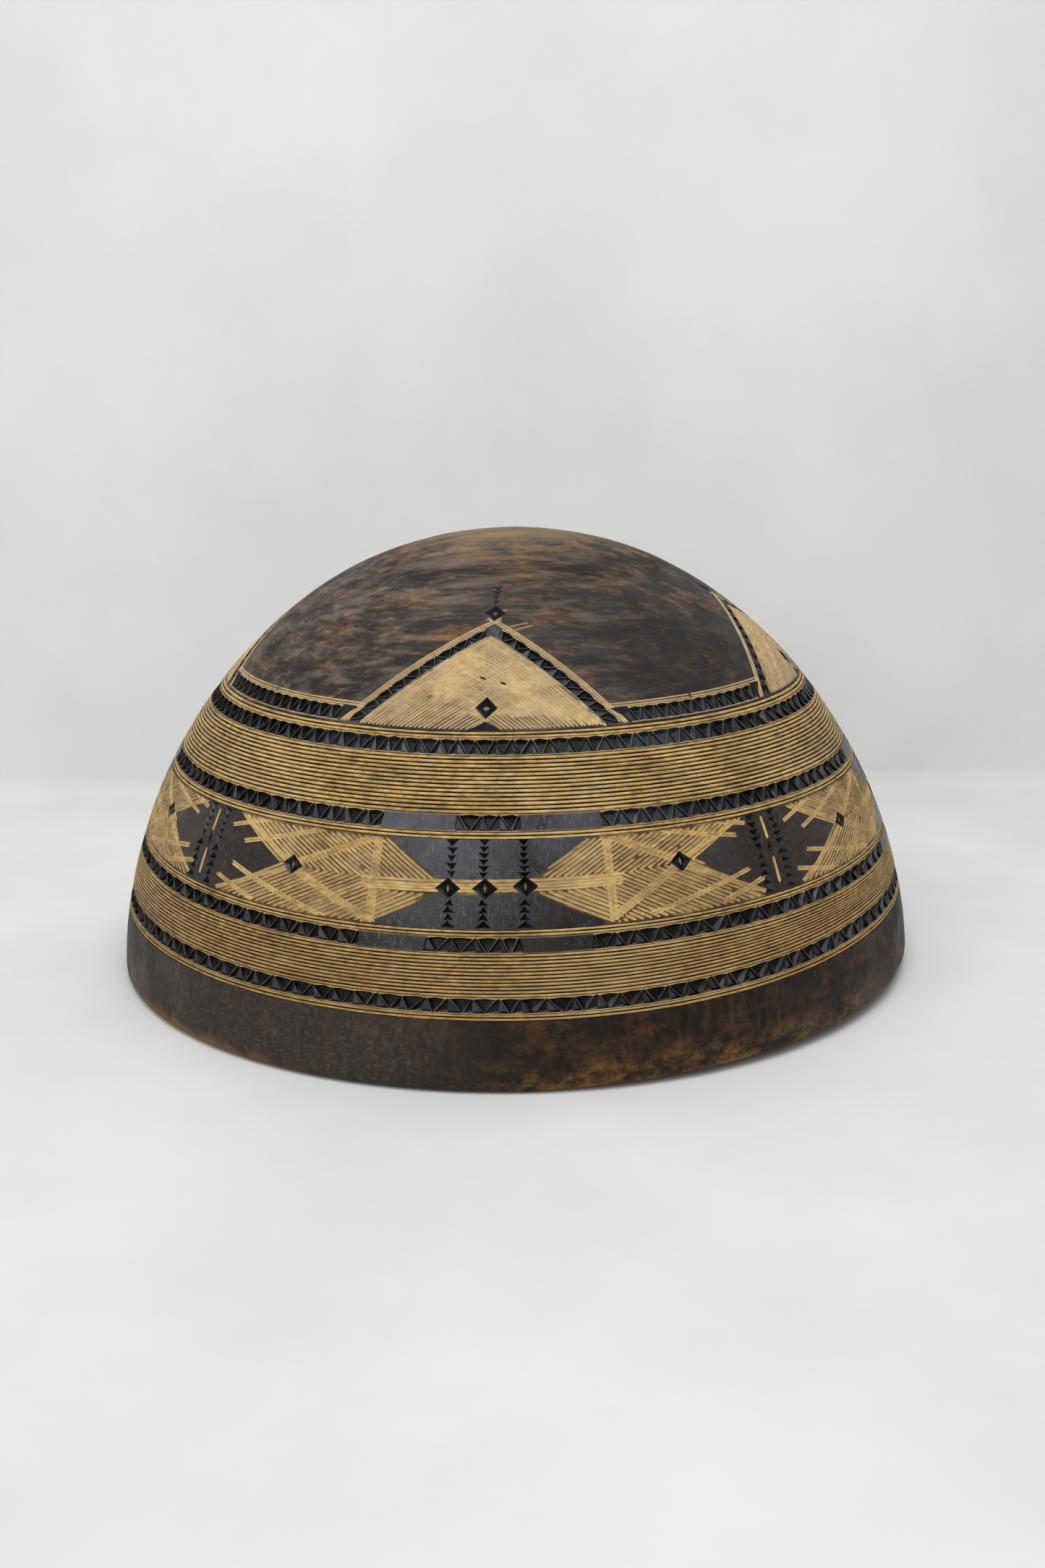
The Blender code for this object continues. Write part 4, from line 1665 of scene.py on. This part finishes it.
def make_bands(wrap, finishes):
    """Every closed ring: the plain and ribbed ones, then the teeth."""
    ribbed = ribbed_band_tree(wrap)
    toothed = tooth_band_tree(wrap)
    line = (2, 10, 480, 0.00070, 0.50, 0.0002, 0.0, BACKING, "ribbed")
    ribs = (
        ("rim_band", 0.0, LOW_LINES, 1, 24, 360, 0.0, 0.45, 0.0, RIM_OUTER_ROUND, 0.0062, "rim"),
        ("low_double_line", LOW_LINES, LOW_TEETH, *line),
        ("low_ribs", LOW_RIBS, MIDDLE_TEETH, 12, 8, 480, 0.00060, 0.50, 0.00034, 0.0, BACKING, "ribbed"),
        ("frieze_foot_line", FRIEZE_LINES, FRIEZE, *line),
        ("frieze_head_line", FRIEZE_TOP_LINES, UPPER_TEETH, *line),
        ("upper_ribs", UPPER_RIBS, TOP_TEETH, 14, 8, 480, 0.00065, 0.50, 0.00036, 0.0, BACKING, "ribbed"),
        ("top_double_line", TOP_LINES, TRIANGLES, *line),
        ("crown", CROWN, DOME_LENGTH, 1, 60, 360, 0.0, 0.45, 0.0, 0.0, BACKING, "crown"),
    )
    labels = ("Lower edge", "Upper edge", "Ribs", "Rows on a rib", "Columns", "Groove depth", "Roundness")
    labels += ("Rib waver", "Edge round", "Backing")
    for number, (name, *values, finish) in enumerate(ribs):
        given = dict(zip(labels, values))
        given["Seed"] = 1.0 + 7.3 * number
        given["Finish"] = finishes[finish]
        finish_piece(apply_tree(name, ribbed, given), math.radians(70))

    tooth = cell_object("tooth_cell", *tooth_cell(), (0, 1, 2), (24, 25, 26))
    ends = [column * 6 for column in range(len(PANEL_COLUMNS))]
    plain = cell_object("panel_cell", *panel_cell(), ends, [i + 5 for i in ends])
    rows = (
        ("low_teeth", LOW_TEETH, LOW_RIBS, 120, -20.0, 0, 0, 0),
        ("middle_teeth", MIDDLE_TEETH, FRIEZE_LINES, 120, -20.0, 3, 4, 3),
        ("upper_teeth", UPPER_TEETH, UPPER_RIBS, 124, -19.1, 4, 3, 4),
        ("top_teeth", TOP_TEETH, TOP_LINES, 120, -18.0, 0, 0, 0),
    )
    for name, low, high, count, start, left, middle, right in rows:
        given = {
            "Tooth": tooth,
            "Plain panel": plain,
            "Count": count,
            "Start": math.radians(start),
            "Lower edge": low,
            "Upper edge": high,
            "Cells in a repeat": count // 4,
            "Left panel": left,
            "Middle teeth": middle,
            "Right panel": right,
            "Finish": finishes["cut"],
        }
        finish_piece(apply_tree(name, toothed, given))
    for cell in (tooth, plain):
        bpy.data.objects.remove(cell)


# ---------------------------------------------------------------- the studio


def backdrop():
    """A pale floor that turns up into a plain wall behind the bowl."""
    depth_points = [(-2.2, 0.0), (0.245, 0.0), (0.252, 0.0006), (0.258, 0.004), (0.262, 0.012), (0.264, 2.4)]
    places, faces = [], []
    for x in (-2.5, 2.5):
        places += [(x, y, z) for y, z in depth_points]
    count = len(depth_points)
    for i in range(count - 1):
        faces.append((i, count + i, count + i + 1, i + 1))
    mesh = bpy.data.meshes.new("pale_board")
    mesh.from_pydata(places, [], faces)
    mesh.shade_smooth()
    board = bpy.data.objects.new("pale_board", mesh)
    bpy.context.scene.collection.objects.link(board)
    finish, tree, shader, place = new_finish("pale_board")
    cloud = grain(tree, place, 5.0, 5.0, 0.6)
    colour = ramp(tree, cloud, (0.35, tone(222, 222, 221)), (0.65, tone(233, 233, 232)))
    shader.inputs["Roughness"].default_value = 0.75
    feed(tree, shader.inputs["Base Color"], colour)
    mesh.materials.append(finish)


def soft_light(name, place, aim, size, power):
    """A rectangular lamp that faces its aim."""
    data = bpy.data.lights.new(name, "AREA")
    data.shape = "RECTANGLE"
    data.size, data.size_y = size
    data.energy = power
    light = bpy.data.objects.new(name, data)
    light.location = place
    light.rotation_euler = (Vector(aim) - Vector(place)).to_track_quat("-Z", "Y").to_euler()
    bpy.context.scene.collection.objects.link(light)


def studio():
    """The backdrop, the lamps and the sky."""
    backdrop()
    soft_light("window", (-0.8, -1.6, 1.1), (0.0, 0.0, 0.08), (1.6, 1.2), 10.5)
    soft_light("ceiling", (0.06, -0.50, 1.5), (0.0, 0.0, 0.1), (1.0, 1.0), 11.5)
    world = bpy.data.worlds.new("room")
    world.use_nodes = True
    world.node_tree.nodes["Background"].inputs[0].default_value = (0.98, 0.99, 1.0, 1.0)
    world.node_tree.nodes["Background"].inputs[1].default_value = 0.37
    bpy.context.scene.world = world
    bpy.context.scene.view_settings.view_transform = "Standard"


def camera():
    """The view from a little above the rim, turned slightly."""
    data = bpy.data.cameras.new("camera")
    data.sensor_width = 36.0
    data.lens = 38.19
    data.clip_start = 0.01
    eye = bpy.data.objects.new("camera", data)
    pitch = Matrix.Rotation(math.radians(90 - 14.0), 4, "X")
    roll = Matrix.Rotation(math.radians(-0.58), 4, "Z")
    eye.matrix_world = Matrix.Translation((0.0036, -0.7074, 0.246)) @ pitch @ roll
    bpy.context.scene.collection.objects.link(eye)
    bpy.context.scene.camera = eye


def main():
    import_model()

    finishes = {
        "ribbed": ribbed_finish(),
        "cut": cut_finish("knife_cut_wood", dark_wood, 0.12),
        "crown_cut": cut_finish("crown_cut_wood", crown_wood, 0.42),
        "crown": plain_finish("weathered_crown_wood", crown_wood, 0.9, -0.5, 1.1, 0.24),
        "rim": plain_finish("stained_rim_wood", rim_wood, 0.6, -0.4, 1.1, 0.22),
        "inside": plain_finish("hollow_wood", inside_wood, 0.4, -0.9, 1.0, 0.3),
    }
    wrap = wrap_group()
    make_bands(wrap, finishes)
    sheet = carved_sheet_tree(wrap)
    for number in range(4):
        frieze_sheet(number, sheet, finishes["cut"])
        triangle_sheet(number, sheet, finishes["crown_cut"])
    hollow_body(finishes["inside"])
    studio()
    camera()


main()
